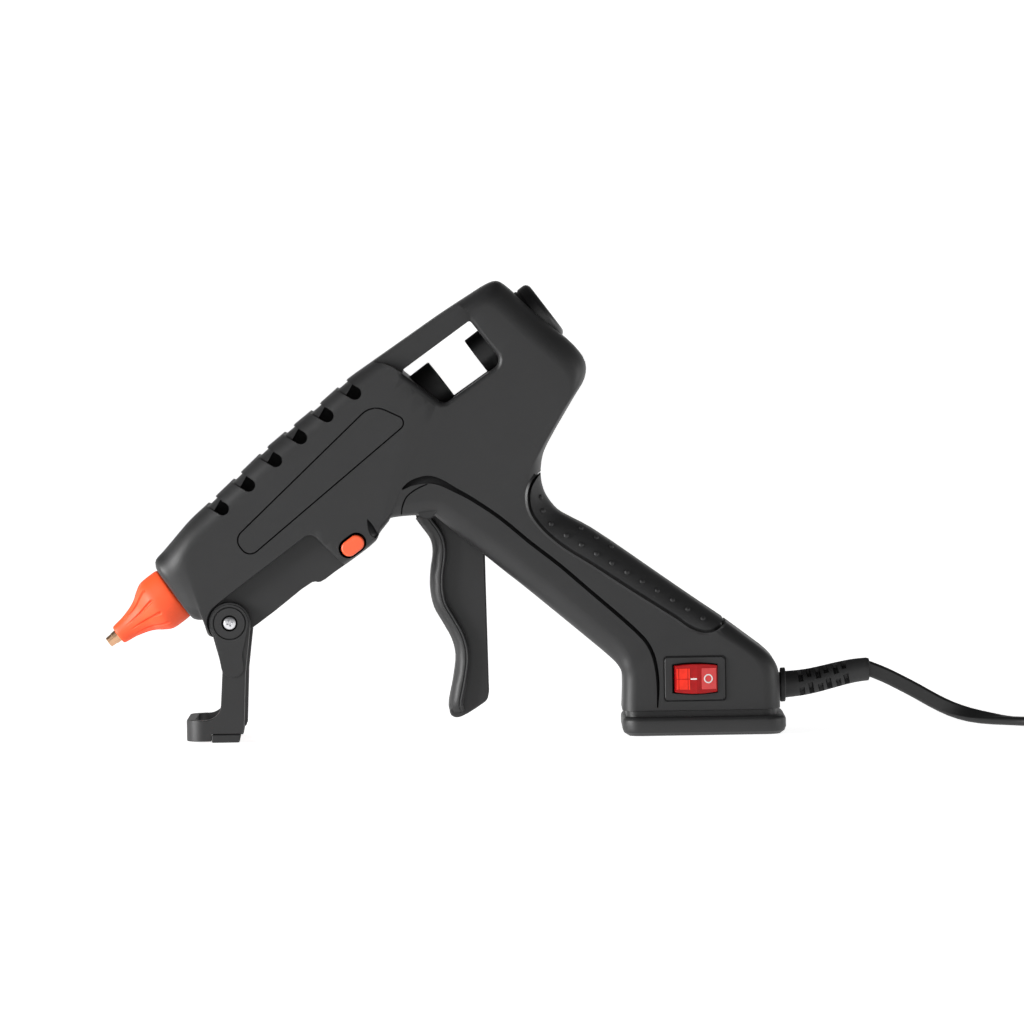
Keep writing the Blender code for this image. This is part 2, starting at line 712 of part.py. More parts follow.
def trigger(look):
    x, z = TRIGGER_PIVOT
    body = prism("trigger", trigger_web(), -4.8, 4.8, look, TRIGGER_PIVOT)
    strip = bevel(prism("trigger_strip", finger_strip(), -8.0, 8.0, None), 1.2, 1, 60)
    hub = pin("trigger_hub", x, z, 4.6, -8.2, 8.2, None, 20)
    root_angle = math.atan2(ALONG.z, ALONG.x) + math.pi / 2 - TRIGGER_PULL / 2
    end = Vector((x, z)) + Vector((math.cos(root_angle), math.sin(root_angle))) * TRIGGER_ARM
    middle = (Vector((x, z)) + end) / 2
    arm = prism("trigger_arm", pill(middle.x, middle.y, TRIGGER_ARM + 6.4, 6.4, root_angle), -2.4, 2.4, None)
    add(body, strip, hub, arm)
    cut(body, pin("trigger_bore", x, z, 2.3, -12.0, 12.0, None, 20))
    cut(body, pin("trigger_arm_hole", end.x, end.y, 1.6, -12.0, 12.0, None, 12))
    return body, end


def feed(arm_end, plastic, steel):
    """The link, the carriage that it pulls towards the nozzle, and the collar behind it that grips the stick."""
    far = arm_end - Vector((ALONG.x, ALONG.z)) * LINK_LONG
    middle = (arm_end + far) / 2
    link = prism("feed_link", pill(middle.x, middle.y, LINK_LONG + 5.4, 5.4, CLIMB), -6.0, -2.8, steel,
                 tuple(arm_end))
    add(link, pin("link_stub", arm_end.x, arm_end.y, 1.25, -4.0, 3.2, None, 12))
    cut(link, pin("link_hole", far.x, far.y, 1.7, -12.0, 12.0, None, 12))
    carriage = turned("feed_carriage", [
        (CARRIAGE_FRONT, STICK_BORE), (CARRIAGE_FRONT, 8.6), (CARRIAGE_REAR, 8.6), (CARRIAGE_REAR, STICK_BORE),
    ], plastic, stick_frame())
    place = stick((arm_end.x - TIP.x) * ALONG.x + (arm_end.y - TIP.z) * ALONG.z - LINK_LONG, -CARRIAGE_PIN_BELOW)
    lug = solid("carriage_lug", *skin([
        [stick((place - TIP).dot(ALONG) + a, n, y) for a, n in ((-3.5, -7.4), (3.5, -7.4), (2.6, -13.4), (-2.6, -13.4))]
        for y in (-2.4, 2.4)
    ], closed=False), None)
    add(carriage, lug, pin("carriage_stub", place.x, place.z, 1.1, -6.2, 0.0, None, 12))
    collar = turned("grip_collar", [(107.6, STICK_BORE), (107.6, 7.7), (109.2, 7.7), (109.2, STICK_BORE)],
                    steel, stick_frame())
    return link, carriage, collar


def return_spring(look):
    """The coil spring between the chamber clip and the carriage."""
    turns, start, end = 5, 74.9, CARRIAGE_FRONT - 0.9
    points = []
    for i in range(turns * 10 + 1):
        turn = 2 * math.pi * i / 10
        along = start + (end - start) * i / (turns * 10)
        points.append(stick(along, 8.0 * math.cos(turn), 8.0 * math.sin(turn)))
    return tube("return_spring", points, 0.5, look, 0)


# Stand.


def arm_outline():
    x, z = STAND_PIVOT
    top = arc((x, z), 7.1, 215, -8, 14)
    return top + [(-67.5, 23.4), (-68.3, 4.6), (-68.9, PAD_HIGH + GAP), (-79.4, PAD_HIGH + GAP), (-79.4, 7.6),
                  (-77.4, 9.4), (-76.4, 12.4), (-75.3, 24.8)]


def stand(look):
    """Two arms joined in front of the feet by a band bent round from one foot to the other."""
    body = prism("stand", arm_outline(), -ARM_OUTSIDE, -ARM_INSIDE, look, STAND_PIVOT)
    x, z = STAND_PIVOT
    outer = rounded([
        (-76.0, -ARM_OUTSIDE, 0), (-76.0, ARM_OUTSIDE, 0), (LOOP_FRONT, ARM_OUTSIDE, 6.0),
        (LOOP_FRONT, -ARM_OUTSIDE, 6.0),
    ], 5)
    band = slab("stand_band", outer, 0.4, 7.6, None)
    hole = rounded([
        (-60.0, -ARM_INSIDE, 0), (-60.0, ARM_INSIDE, 0), (LOOP_FRONT + 3.0, ARM_INSIDE, 3.4),
        (LOOP_FRONT + 3.0, -ARM_INSIDE, 3.4),
    ], 5)
    cut(band, slab("stand_band_hole", hole, -5.0, 20.0, None))
    for mark, side in (("left", -1), ("right", 1)):
        low, high = sorted((side * (ARM_INSIDE - 4.0), side * (ARM_OUTSIDE + 4.0)))
        cut(band, block(f"pad_room_{mark}", (-79.4, low, -3.0), (-60.0, high, PAD_HIGH + GAP), None))
    far_arm = prism("stand_far_arm", arm_outline(), ARM_INSIDE, ARM_OUTSIDE, None)
    add(body, band, far_arm)
    for mark, side in (("left", -1), ("right", 1)):
        boss = pin(f"arm_boss_{mark}", x, z, 5.2, *sorted((side * (ARM_OUTSIDE - 1.0), side * ARM_BOSS)), None, 24)
        add(body, boss)
        cut(body, pin(f"arm_hole_{mark}", x, z, 2.75, *sorted((side * 14.0, side * 24.0)), None, 20))
    return body


def stand_fittings(zinc, plastic, rubber):
    x, z = STAND_PIVOT
    for mark, side in (("left", -1), ("right", 1)):
        facing = cross_frame(x, z) if side > 0 else cross_frame(x, z) @ Matrix.Rotation(math.pi, 4, "X")
        turned(f"stand_screw_{mark}", [(9.0, 1.3), (19.2, 1.3), (19.2, 2.4), (20.2, 2.4), (20.6, 1.8)],
               zinc, facing, 16, bored=False)
        turned(f"stand_bush_{mark}", [(16.9, 1.6), (16.9, 2.45), (18.9, 2.45), (18.9, 1.6)], plastic, facing, 16)
        outer = side * (ARM_OUTSIDE + 0.3)
        low, high = sorted((side * (ARM_INSIDE + 0.1), outer))
        pad = block(f"foot_pad_{mark}", (-79.1, low, 0.0), (-69.3, high, PAD_HIGH), rubber,
                    (STAND_PIVOT[0], 0.0, STAND_PIVOT[1]))
        bevel(pad, 0.5)


# Button and switch.


def release_button(plastic, steel, dark):
    x, z = BUTTON
    button = prism("release_button", pill(x, z, 8.4, 5.4, CLIMB), -21.2, -14.0, plastic, BUTTON)
    bevel(button, 0.5)
    seat = prism("button_seat", pill(*BUTTON_POCKET, 8.0, 5.2, CLIMB, 4), -9.4, -7.4, dark)
    points = []
    for i in range(4 * 8 + 1):
        turn = 2 * math.pi * i / 8
        points.append(flat(x + 1.5 * math.cos(turn), z + 1.5 * math.sin(turn), -13.4 + 3.4 * i / 32))
    spring = tube("button_spring", points, 0.25, steel, 0)
    return button, seat, spring


def rocker_switch(dark, red, brass):
    x, z = SWITCH
    face = -BASE_HALF
    bezel = rounded([(74.9, 11.8, 1.2), (95.4, 11.8, 1.2), (95.4, 26.6, 1.2), (74.9, 26.6, 1.2)], 3)
    housing = prism("switch_housing", bezel, face - 1.5, face - GAP, dark)
    add(housing, block("switch_body", (76.3, face - 0.9, 13.1), (94.0, face + 13.0, 25.3), None))
    cut(housing, block("switch_well", (77.3, face - 6.0, 13.8), (93.0, face + 9.0, 24.6), None))
    half_angle = math.radians(7)
    pivot = (x, face + 1.5, z)
    profile = [(-7.3, -0.4), (-7.3, -3.9), (0.0, -4.9), (7.3, -3.9), (7.3, -0.4), (3.0, 1.6), (-3.0, 1.6)]
    outline = []
    for a, b in profile:
        outline.append((
            pivot[0] + a * math.cos(half_angle) - b * math.sin(half_angle),
            pivot[1] + a * math.sin(half_angle) + b * math.cos(half_angle),
        ))
    rocker = slab("rocker", outline, 14.2, 24.2, red, pivot)
    bevel(rocker, 0.4)
    for i in range(3):
        place = x - 6.0 + 6.0 * i
        block(f"switch_terminal_{i + 1}", (place - 0.4, face + 13.3, 16.8), (place + 0.4, face + 20.3, 21.6), brass)
    return housing, rocker, Vector(pivot)


# Cord and wiring.


def wiring(sleeve, cord_skin, plastic, steel):
    for mark, side in (("heater_wire_live", 1), ("heater_wire_neutral", -1)):
        first = flat(83.0, 27.2, side * 2.5 + 5.0)
        route = [
            first, flat(72.0, 33.5, side * 10.0), flat(60.0, 38.5, side * 10.5), flat(48.0, 47.0, side * 10.5),
            flat(37.5, 57.5, side * 10.5), flat(28.0, 68.5, side * 10.5), flat(17.0, 82.0, side * 11.0),
            flat(5.0, 95.0, side * 12.0),
            flat(-12.0, 101.0, side * 12.5), flat(-30.0, 90.5, side * 12.5), flat(-42.0, 79.0, side * 12.0),
            flat(-50.0, 68.0, side * 8.0),
        ]
        tube(mark, smooth_route(route, 7.0), 0.9, sleeve, 0)
    tube("cord_inner", [flat(x, 15.4) for x in (97.5, 103.0, 109.4)], 2.1, cord_skin, 2)
    clamp = block("cord_clamp", (104.2, -7.4, 10.8), (109.0, 7.4, 13.0), plastic)
    bevel(clamp, 0.4)
    for i, y in enumerate((-5.0, 5.0)):
        turned(f"clamp_screw_{i + 1}", [(13.3, 2.2), (14.8, 2.2)], steel, at(106.6, y, 0), 12, bored=False)


def strain_relief(look):
    """A soft sleeve with a collar on the rear wall, tapering and rising slightly to its end."""
    spine = [(109.8, 15.4, 4.3), (113.9, 15.4, 4.3), (114.7, 15.4, 4.3), (114.7, 15.4, 5.85), (116.5, 15.5, 5.85),
             (116.5, 15.5, 4.55), (121.0, 15.9, 4.5), (125.0, 16.5, 4.45), (130.0, 17.6, 4.3), (135.0, 18.8, 4.2),
             (140.0, 19.8, 4.05), (144.6, 20.3, 3.95)]
    rings = []
    for i, (x, z, radius) in enumerate(spine):
        before, after = spine[max(i - 1, 0)], spine[min(i + 1, len(spine) - 1)]
        lean = math.atan2(after[1] - before[1], after[0] - before[0]) if 5 < i < 11 else 0.0
        ring = []
        for j in range(16):
            turn = 2 * math.pi * j / 16
            up = radius * math.cos(turn)
            ring.append((x - up * math.sin(lean), radius * math.sin(turn), z + up * math.cos(lean)))
        rings.append(ring)
    return loft("strain_relief", rings, look)


def cord(look):
    route = [Vector(point) for point in CORD_ROUTE]
    tube("cord_tube", smooth_route(route, 9.0), (CORD_WIDE + CORD_THICK) / 4, look, 2)


def ring_section(inner, outer, low, high, corner=2.5):
    return rounded([(low, inner, corner), (low, outer, corner), (high, outer, corner), (high, inner, corner)], 1)


def coil(look, tie_look):
    place = at(*COIL_CENTRE)
    turned("cord_coil", ring_section(COIL_INNER, COIL_OUTER, COIL_LOW, COIL_HIGH), look, place, 28)
    middle = COIL_CENTRE.x - (COIL_INNER + COIL_OUTER) / 2
    half = (COIL_OUTER - COIL_INNER) / 2
    y = COIL_CENTRE.y + 6.0
    tie = block("coil_tie", (middle - half - 1.2, y - 3.0, COIL_LOW - 1.2),
                (middle + half + 3.1, y + 3.0, COIL_HIGH + 1.4), tie_look)
    cut(tie, block("tie_hole", (middle - half - 0.5, y - 6.0, COIL_LOW - 0.5),
                   (middle + half + 2.4, y + 6.0, COIL_HIGH + 0.6), None))


def plug(look, metal):
    """A flat two-pin plug, lying on the coil, with the cord curving up to it off the coil's last turn."""
    x, y = COIL_CENTRE.x - 3.8, COIL_CENTRE.y + 22.0
    outline = rounded([
        (x + 17.0, y - 6.0, 2.0), (x + 17.0, y + 6.0, 2.0), (x + 8.0, y + 13.0, 4.0), (x - 17.5, y + 13.0, 3.0),
        (x - 17.5, y - 13.0, 3.0), (x + 8.0, y - 13.0, 4.0),
    ], 3)
    body = slab("plug_body", outline, PLUG_LOW, PLUG_LOW + 13.5, look)
    bevel(body, 1.5, 1, 60)
    for mark, side in (("1", -1), ("2", 1)):
        turn = Matrix.Rotation(-math.pi / 2, 4, "Y")
        turned(f"plug_pin_{mark}", [(0.0, 2.0), (17.5, 2.0), (19.0, 1.2)], metal,
               at(x - 17.5 - GAP, y + side * 9.3, PLUG_LOW + 6.75) @ turn, 12, bored=False)
    rise = [(90, 19.35), (70, 18.9), (50, 17.8), (30, 16.4), (10, 15.2)]
    route = []
    for turn, z in rise:
        turn = math.radians(turn)
        route.append(Vector((x + 17.6 + CORD_BEND * math.cos(turn), y - CORD_BEND * (1 - math.sin(turn)), z)))
    route += [COIL_CENTRE + Vector((33.5, -1.2, 14.7)), COIL_CENTRE + Vector((32.8, -7.0, 14.7))]
    tube("cord_end", smooth_route(route, 5.0), (CORD_WIDE + CORD_THICK) / 4, look, 2)


def build():
    clear_scene()
    shell_plastic = material("charcoal shell plastic", (0.060, 0.060, 0.062), 0.45)
    soft_rubber = material("black grip rubber", (0.028, 0.028, 0.029), 0.75)
    dark_plastic = material("black plastic", (0.020, 0.020, 0.021), 0.5)
    orange = material("orange silicone", (0.95, 0.17, 0.045), 0.5)
    brass = material("brass", (0.72, 0.48, 0.26), 0.3, 1.0)
    aluminium = material("cast aluminium", (0.72, 0.72, 0.73), 0.4, 1.0)
    steel = material("zinc-plated steel", (0.75, 0.75, 0.76), 0.3, 1.0)
    ceramic = material("white ceramic", (0.82, 0.80, 0.76), 0.6)
    mica = material("mica sheet", (0.62, 0.52, 0.36), 0.55)
    red = material("red switch plastic", (0.55, 0.02, 0.015), 0.25)
    wire = material("red wire sleeve", (0.35, 0.05, 0.03), 0.6)
    cord_skin = material("black cord jacket", (0.018, 0.018, 0.018), 0.55)

    shells(shell_plastic)
    grip(soft_rubber)
    shell_screws(steel)
    nozzle(brass)
    nozzle_sleeve(orange)
    hot_end(aluminium, ceramic, steel, mica)
    stick_guides(soft_rubber, dark_plastic)

    trigger_body, arm_end = trigger(shell_plastic)
    link, carriage, collar = feed(arm_end, dark_plastic, steel)
    return_spring(steel)
    pin("trigger_pin", *TRIGGER_PIVOT, 2.0, -14.2, 14.2, steel, 16)
    held_by(joint_empty("trigger_axis", flat(*TRIGGER_PIVOT)), trigger_body)
    held_by(joint_empty("link_axis", flat(*arm_end)), link)
    held_by(joint_empty("carriage_path", stick(CARRIAGE_FRONT)), carriage, collar)

    held_by(joint_empty("stand_axis", flat(*STAND_PIVOT)), stand(shell_plastic))
    stand_fittings(steel, dark_plastic, soft_rubber)
    button, _, _ = release_button(orange, steel, dark_plastic)
    held_by(joint_empty("button_path", flat(*BUTTON)), button)
    _, rocker, rocker_pivot = rocker_switch(dark_plastic, red, brass)
    held_by(joint_empty("rocker_axis", rocker_pivot), rocker)

    wiring(wire, cord_skin, dark_plastic, steel)
    strain_relief(soft_rubber)
    cord(cord_skin)
    coil(cord_skin, soft_rubber)
    plug(cord_skin, steel)


build()
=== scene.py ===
"""The looks of a hot glue gun that stands on its fold-back stand.

Lengths are in millimetres, and MM makes them metres.
"""

import json
import math

import bmesh
import bpy
from mathutils import Matrix, Vector
from mathutils.bvhtree import BVHTree


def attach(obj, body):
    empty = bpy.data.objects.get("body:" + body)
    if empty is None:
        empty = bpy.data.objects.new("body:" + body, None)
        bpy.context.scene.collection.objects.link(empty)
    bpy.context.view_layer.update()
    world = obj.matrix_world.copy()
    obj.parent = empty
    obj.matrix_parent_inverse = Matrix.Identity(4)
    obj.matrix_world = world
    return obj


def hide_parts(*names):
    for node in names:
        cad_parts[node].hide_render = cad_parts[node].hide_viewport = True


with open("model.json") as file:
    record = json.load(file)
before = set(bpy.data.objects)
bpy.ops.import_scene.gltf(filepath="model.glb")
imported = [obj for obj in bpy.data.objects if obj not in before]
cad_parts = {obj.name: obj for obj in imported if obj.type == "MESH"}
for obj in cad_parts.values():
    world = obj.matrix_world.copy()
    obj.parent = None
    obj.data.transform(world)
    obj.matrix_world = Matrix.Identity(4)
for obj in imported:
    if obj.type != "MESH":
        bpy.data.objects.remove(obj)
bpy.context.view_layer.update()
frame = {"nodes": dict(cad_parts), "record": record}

MM = 0.001

# The glue stick's axis climbs from the nozzle's tip to the rear entry.
TIP = Vector((-114.8, 0, 33.5))
CLIMB = math.radians(36.5)
ALONG = Vector((math.cos(CLIMB), 0, math.sin(CLIMB)))
ABOVE = Vector((-math.sin(CLIMB), 0, math.cos(CLIMB)))

BARREL_HALF, NECK_HALF, BASE_HALF, FLANGE_HALF = 21.0, 16.5, 18.0, 22.5
BARREL, NECK, BASE = (BARREL_HALF, 9.0, 5.0), (NECK_HALF, 9.0, 7.0), (BASE_HALF, 6.0, 5.0)
WALL = 2.4
VENT_WIDTH, VENT_DROP, VENT_GROOVE, VENT_LEAN = 4.4, 3.0, 1.0, 0.41
PARTING = 0.15  # from the parting plane to each shell's edge
SECTIONS = [  # outer edge x, z; inner edge x, z; half width; outer and inner corner radius
    (-97.7, 59.7, -87.2, 44.5, 17.0, 5.0, 4.0),
    (-97.6, 62.2, -85.2, 42.2, 19.0, 7.0, 4.5),
    (-94.9, 65.2, -83.2, 41.6, 20.2, 9.0, 5.0),
    (-92.0, 68.5, -81.6, 41.4, 20.8, 9.0, 5.0),
    (-89.5, 71.4, -80.7, 38.6, *BARREL),
    (-86.2, 75.1, -79.6, 36.1, *BARREL),
    (-80.1, 80.6, -72.6, 35.2, *BARREL),
    (-67.0, 92.7, -66.2, 37.9, *BARREL),
    (-59.4, 99.7, -57.0, 44.5, *BARREL),
    (-44.6, 111.5, -44.4, 53.9, *BARREL),
    (-40.0, 115.3, -41.5, 54.0, *BARREL),
    (-32.1, 122.0, -36.2, 57.6, *BARREL),
    (-23.9, 127.7, -30.7, 61.3, *BARREL),
    (-8.2, 138.4, -22.5, 67.6, *BARREL),
    (-0.4, 143.7, -21.2, 70.2, *BARREL),
    (9.7, 150.1, -18.0, 74.2, 20.8, 9.0, 5.0),
    (16.0, 153.9, -17.2, 75.3, 20.6, 9.0, 5.0),
    (19.5, 155.0, -13.7, 75.8, 20.4, 9.0, 5.0),
    (22.3, 153.8, -10.1, 76.0, 20.1, 9.0, 5.5),
    (30.0, 146.8, -6.5, 76.0, 19.7, 9.0, 6.0),
    (38.0, 139.7, -3.0, 76.0, 19.3, 9.0, 6.0),
    (46.1, 132.5, -0.5, 74.0, 18.8, 9.0, 6.5),
    (49.7, 127.0, 2.5, 71.5, 18.3, 9.0, 6.5),
    (49.3, 121.5, 5.2, 69.3, 17.9, 9.0, 7.0),
    (46.0, 115.9, 6.6, 68.1, 17.5, 9.0, 7.0),
    (36.7, 100.2, 9.6, 65.7, 16.9, 9.0, 7.0),
    (34.7, 95.6, 10.8, 64.7, 16.7, 9.0, 7.0),
    (33.9, 89.3, 12.9, 63.0, *NECK),
    (34.7, 83.9, 16.0, 60.5, *NECK),
    (36.5, 80.2, 18.9, 58.1, *NECK),
    (39.6, 76.5, 22.3, 55.3, *NECK),
    (43.2, 74.3, 25.8, 52.5, *NECK),
    (51.0, 70.0, 32.3, 47.1, *NECK),
    (73.0, 54.5, 49.6, 32.5, 17.0, 9.0, 7.0),
    (80.0, 49.5, 54.5, 28.3, 17.3, 9.0, 7.0),
    (87.0, 44.5, 58.3, 24.8, 17.6, 8.0, 6.0),
    (94.7, 39.1, 60.0, 22.3, BASE_HALF, 7.0, 5.0),
    (103.0, 32.8, 60.6, 20.0, *BASE),
    (110.2, 27.1, 60.7, 17.8, *BASE),
    (112.9, 23.6, 60.7, 15.5, *BASE),
    (114.0, 19.5, 60.6, 12.8, *BASE),
    (114.2, 8.4, 60.4, 8.4, *BASE),
]
FOOT_FLANGE = [  # the groove above the flange, then the flange down to the ground
    (112.9, 8.2, 61.7, 8.2, 16.8, 5.0, 4.0),
    (112.9, 6.3, 61.7, 6.3, 16.8, 5.0, 4.0),
    (115.2, 6.1, 61.0, 6.1, 21.8, 6.4, 5.4),
    (115.8, 5.6, 60.5, 5.6, 22.3, 7.0, 6.0),
    (116.0, 4.9, 60.3, 4.9, FLANGE_HALF, 7.0, 6.0),
    (116.0, 2.4, 60.3, 2.4, FLANGE_HALF, 7.0, 6.0),
    (115.5, 1.1, 60.8, 1.1, 22.0, 6.5, 5.5),
    (114.0, 0.0, 62.5, 0.0, 20.5, 5.0, 4.0),
]
FIRST_HOLLOW = 3
HOLLOW_FLOOR = (111.0, 2.6, 63.5, 2.6, 17.0, 4.0, 4.0)

WINDOW = [(-13.2, 125.0, 1.0), (1.3, 113.6, 3.0), (21.6, 127.7, 3.5), (10.6, 142.0, 1.0)]
BAR_HALF = 14.0
BAR = [
    (-24.0, 130.0), (-22.0, 128.3), (-18.7, 127.9), (-15.8, 126.7), (-12.8, 124.6), (-6.0, 124.0),
    (8.0, 133.0), (10.9, 141.6), (10.9, 143.8), (9.4, 145.7), (7.1, 147.4), (3.0, 153.0), (-10.0, 160.0),
    (-30.0, 145.0),
]
VENT_CENTRES = [(-74.9, 79.9), (-65.9, 87.8), (-56.6, 96.0), (-48.0, 103.6), (-38.9, 110.9), (-29.4, 118.4)]
RECESS_HALF = 16.6
SCREWS = [  # x, z, and how far from the parting plane its bosses reach
    (-53.7, 55.1, 15.4), (-20.8, 121.7, 19.6), (41.0, 125.5, 17.2), (26.0, 91.0, 15.4), (55.0, 52.0, 15.4),
    (67.5, 14.8, 16.6), (101.5, 27.0, 16.6),
]
PANEL = [(-70.6, 69.1, 3.8), (-23.0, 114.2, 7.0), (-10.4, 108.3, 2.4), (-65.6, 62.7, 3.4)]
HANDLE_LINE = [  # x, z and width of the groove that runs from the body down the handle
    (-13.2, 85.2, 0.625), (-10.0, 87.2, 1.875), (-4.6, 88.3, 2.625), (-0.5, 87.4, 2.25), (4.7, 84.6, 1.625),
    (10.0, 81.6, 1.375), (19.9, 74.7, 1.25), (29.8, 66.3, 1.25), (40.0, 58.2, 1.25), (49.5, 49.8, 1.25),
    (59.9, 40.7, 1.25), (65.8, 35.2, 1.25), (68.9, 31.7, 1.25), (71.0, 27.5, 1.25), (72.2, 22.2, 1.125),
    (72.6, 16.0, 1.0), (72.3, 9.4, 0.5),
]
FRONT_LINE = [
    (-13.7, 75.6, 0.5), (-13.3, 79.0, 0.5), (-11.8, 82.5, 0.5), (-8.5, 85.1, 0.5), (-4.6, 86.8, 0.4),
]
CREASE = [(-25.2, 75.2, 0.3), (-24.3, 72.9, 1.8), (-23.3, 70.6, 2.4), (-22.0, 69.2, 1.6)]

GRIP_THICK = 1.6
GRIP_LOW, GRIP_HIGH = 36.0, 90.0  # the hollow is drawn in between these heights
DOT_START = [(33.8, 81.5), (34.5, 76.9), (37.1, 72.4), (42.2, 68.4)]
DOT_END = Vector((88.2, 39.5))
DOT_PITCH, DOT_ROW, DOT_RADIUS, DOT_HIGH = 6.2, 4.6, 0.95, 0.7
DOT_TILT = 0.35  # dots stand only where the surface's normal leans at least this much to the side
GRIP_EDGE = [
    (33.0, 88.6), (31.2, 86.0), (30.2, 83.0), (30.2, 79.5), (31.2, 76.1), (33.7, 72.4), (37.3, 68.7),
    (42.0, 64.9), (50.5, 59.5), (65.0, 49.8), (80.1, 40.0), (84.2, 37.1), (88.4, 35.6), (92.0, 36.0),
    (95.2, 38.4),
]
GRIP_CLOSE = [(104.0, 50.0), (60.0, 84.0), (40.0, 94.0)]
STAND_PIVOT = (-72.6, 40.6)
ARM_INSIDE, ARM_OUTSIDE, ARM_BOSS = 16.9, 20.2, 20.9
LOOP_FRONT = -88.0
PAD_HIGH = 2.8
TRIGGER_PIVOT = (-5.0, 79.0)
TRIGGER_EDGE = [
    (-8.7, 74.2), (-6.4, 71.0), (-3.8, 67.1), (-3.15, 63.0), (-4.0, 56.5), (-4.2, 50.6), (-3.0, 44.1),
    (0.2, 38.2), (3.0, 32.8), (4.1, 27.5), (3.2, 19.9), (1.5, 10.5), (2.4, 6.6),
]
BUTTON = (-30.3, 66.3)
BUTTON_POCKET = (-30.4, 66.4)
SWITCH = (85.15, 19.2)

# The cord leaves the strain relief, lies along the floor, and winds into a tied coil with the plug on it.
CORD_WIDE, CORD_THICK = 5.2, 3.2
CORD_ROUTE = [
    (143.9, 0.0, 20.9), (145.7, 0.0, 20.2), (150.5, 0.0, 18.2), (156.0, 0.0, 15.4), (161.5, 0.0, 12.4),
    (167.0, 0.0, 9.2), (173.0, 0.0, 6.2), (179.5, -0.1, 4.0), (187.0, -0.5, 2.6), (194.0, -1.6, 1.8),
    (201.0, -4.4, 1.7), (207.5, -8.6, 1.7), (214.0, -13.2, 1.7), (220.8, -17.4, 1.7), (227.6, -20.4, 2.2),
    (234.5, -22.2, 3.2), (239.0, -22.8, 3.9),
]
COIL_CENTRE = Vector((243.0, 0.0, 0.0))
COIL_INNER, COIL_OUTER = 21.0, 37.8
COIL_LOW, COIL_HIGH = 1.5, 12.3
PLUG_LOW = 12.6
PLUG = COIL_CENTRE + Vector((-3.8, 22.0, PLUG_LOW))
CORD_BEND = 20.0
COIL_FOOT, COIL_FRONT = 4.3, 200.0  # in the coil, the cord's middle is above and behind these
UNDER_LIFT, UNDER_ANGLE = 1.8, 212  # how far the coil rises where the cord passes under it, and where
OFF_FLOOR = 0.3  # from the coil's low side to the cord
STEADY_TURN = 1.7  # from the coil's inner and outer sides to the cord's middle
TIE_ROOM = 0.2  # the coil's inner side curves away from the strap, so the strap reaches further in
TIE_SLACK = 1.7  # the bundle's outer side lies this far inside the coil's outer radius
LIE_FROM, LIE_OVER = 172.0, 20.0  # where the cord begins to lie flat, and how long it takes
CROSSING, CROSSING_OVER = 224.0, 17.0  # where it begins to stand up again under the coil

THROUGH = 30.0  # beyond the body's side, for cutters that go out through it
CLEAR = 60.0  # well beyond the body's side, for rays that look back at it


# Placing.


def flat(x, z, y=0.0):
    """A point given by its place in the side view."""
    return Vector((x, y, z))


def stick(along, above=0.0, y=0.0):
    """A point by its distance along the stick's axis from the tip, and its height above that axis."""
    return TIP + ALONG * along + ABOVE * above + Vector((0, y, 0))


def stick_frame(along=0.0, above=0.0, y=0.0):
    """Local Z runs rearwards along the stick's axis, and local X points above it."""
    turn = Matrix((ABOVE, Vector((0, -1, 0)), ALONG)).transposed().to_4x4()
    return Matrix.Translation(stick(along, above, y)) @ turn


def cross_frame(x, z, side=1):
    """Local Z runs outwards on that side of the gun."""
    return Matrix.Translation((x, 0, z)) @ Matrix.Rotation(-side * math.pi / 2, 4, "X")


def span(side, near, far):
    """Two distances from the parting plane as a rising pair of Y values on that side."""
    return sorted((side * near, side * far))


# Outlines.


def circle(radius, segments):
    turns = [2 * math.pi * i / segments for i in range(segments)]
    return [(radius * math.cos(turn), radius * math.sin(turn)) for turn in turns]


def arc(centre, radius, start, end, steps):
    points = []
    for i in range(steps + 1):
        turn = math.radians(start + (end - start) * i / steps)
        points.append((centre[0] + radius * math.cos(turn), centre[1] + radius * math.sin(turn)))
    return points


def rounded(corners, steps=6):
    """An outline from (a, b, radius) corners, each turned into an arc."""
    outline = []
    for i, (a, b, radius) in enumerate(corners):
        here = Vector((a, b))
        before = (Vector(corners[i - 1][:2]) - here).normalized()
        after = (Vector(corners[(i + 1) % len(corners)][:2]) - here).normalized()
        if radius <= 0:
            outline.append((a, b))
            continue
        half = before.angle(after) / 2
        centre = here + (before + after).normalized() * (radius / math.sin(half))
        start = here + before * (radius / math.tan(half)) - centre
        end = here + after * (radius / math.tan(half)) - centre
        for step in range(steps + 1):
            way = start.normalized().slerp(end.normalized(), step / steps)
            outline.append(tuple(centre + way * radius))
    return outline


def grown(corners, by):
    """The same corners, moved outwards from the middle of the outline."""
    middle = sum((Vector(c[:2]) for c in corners), Vector((0, 0))) / len(corners)
    moved = []
    for a, b, radius in corners:
        out = (Vector((a, b)) - middle).normalized() * by * 1.4
        moved.append((a + out.x, b + out.y, radius + by))
    return moved


def pill(a, b, length, width, angle, steps=10):
    """A slot's outline with round ends, turned by an angle."""
    radius, reach = width / 2, (length - width) / 2
    outline = []
    for end, start in ((1, -math.pi / 2), (-1, math.pi / 2)):
        for i in range(steps + 1):
            turn = start + math.pi * i / steps
            x = end * reach + radius * math.cos(turn)
            z = radius * math.sin(turn)
            outline.append((
                a + x * math.cos(angle) - z * math.sin(angle),
                b + x * math.sin(angle) + z * math.cos(angle),
            ))
    return outline


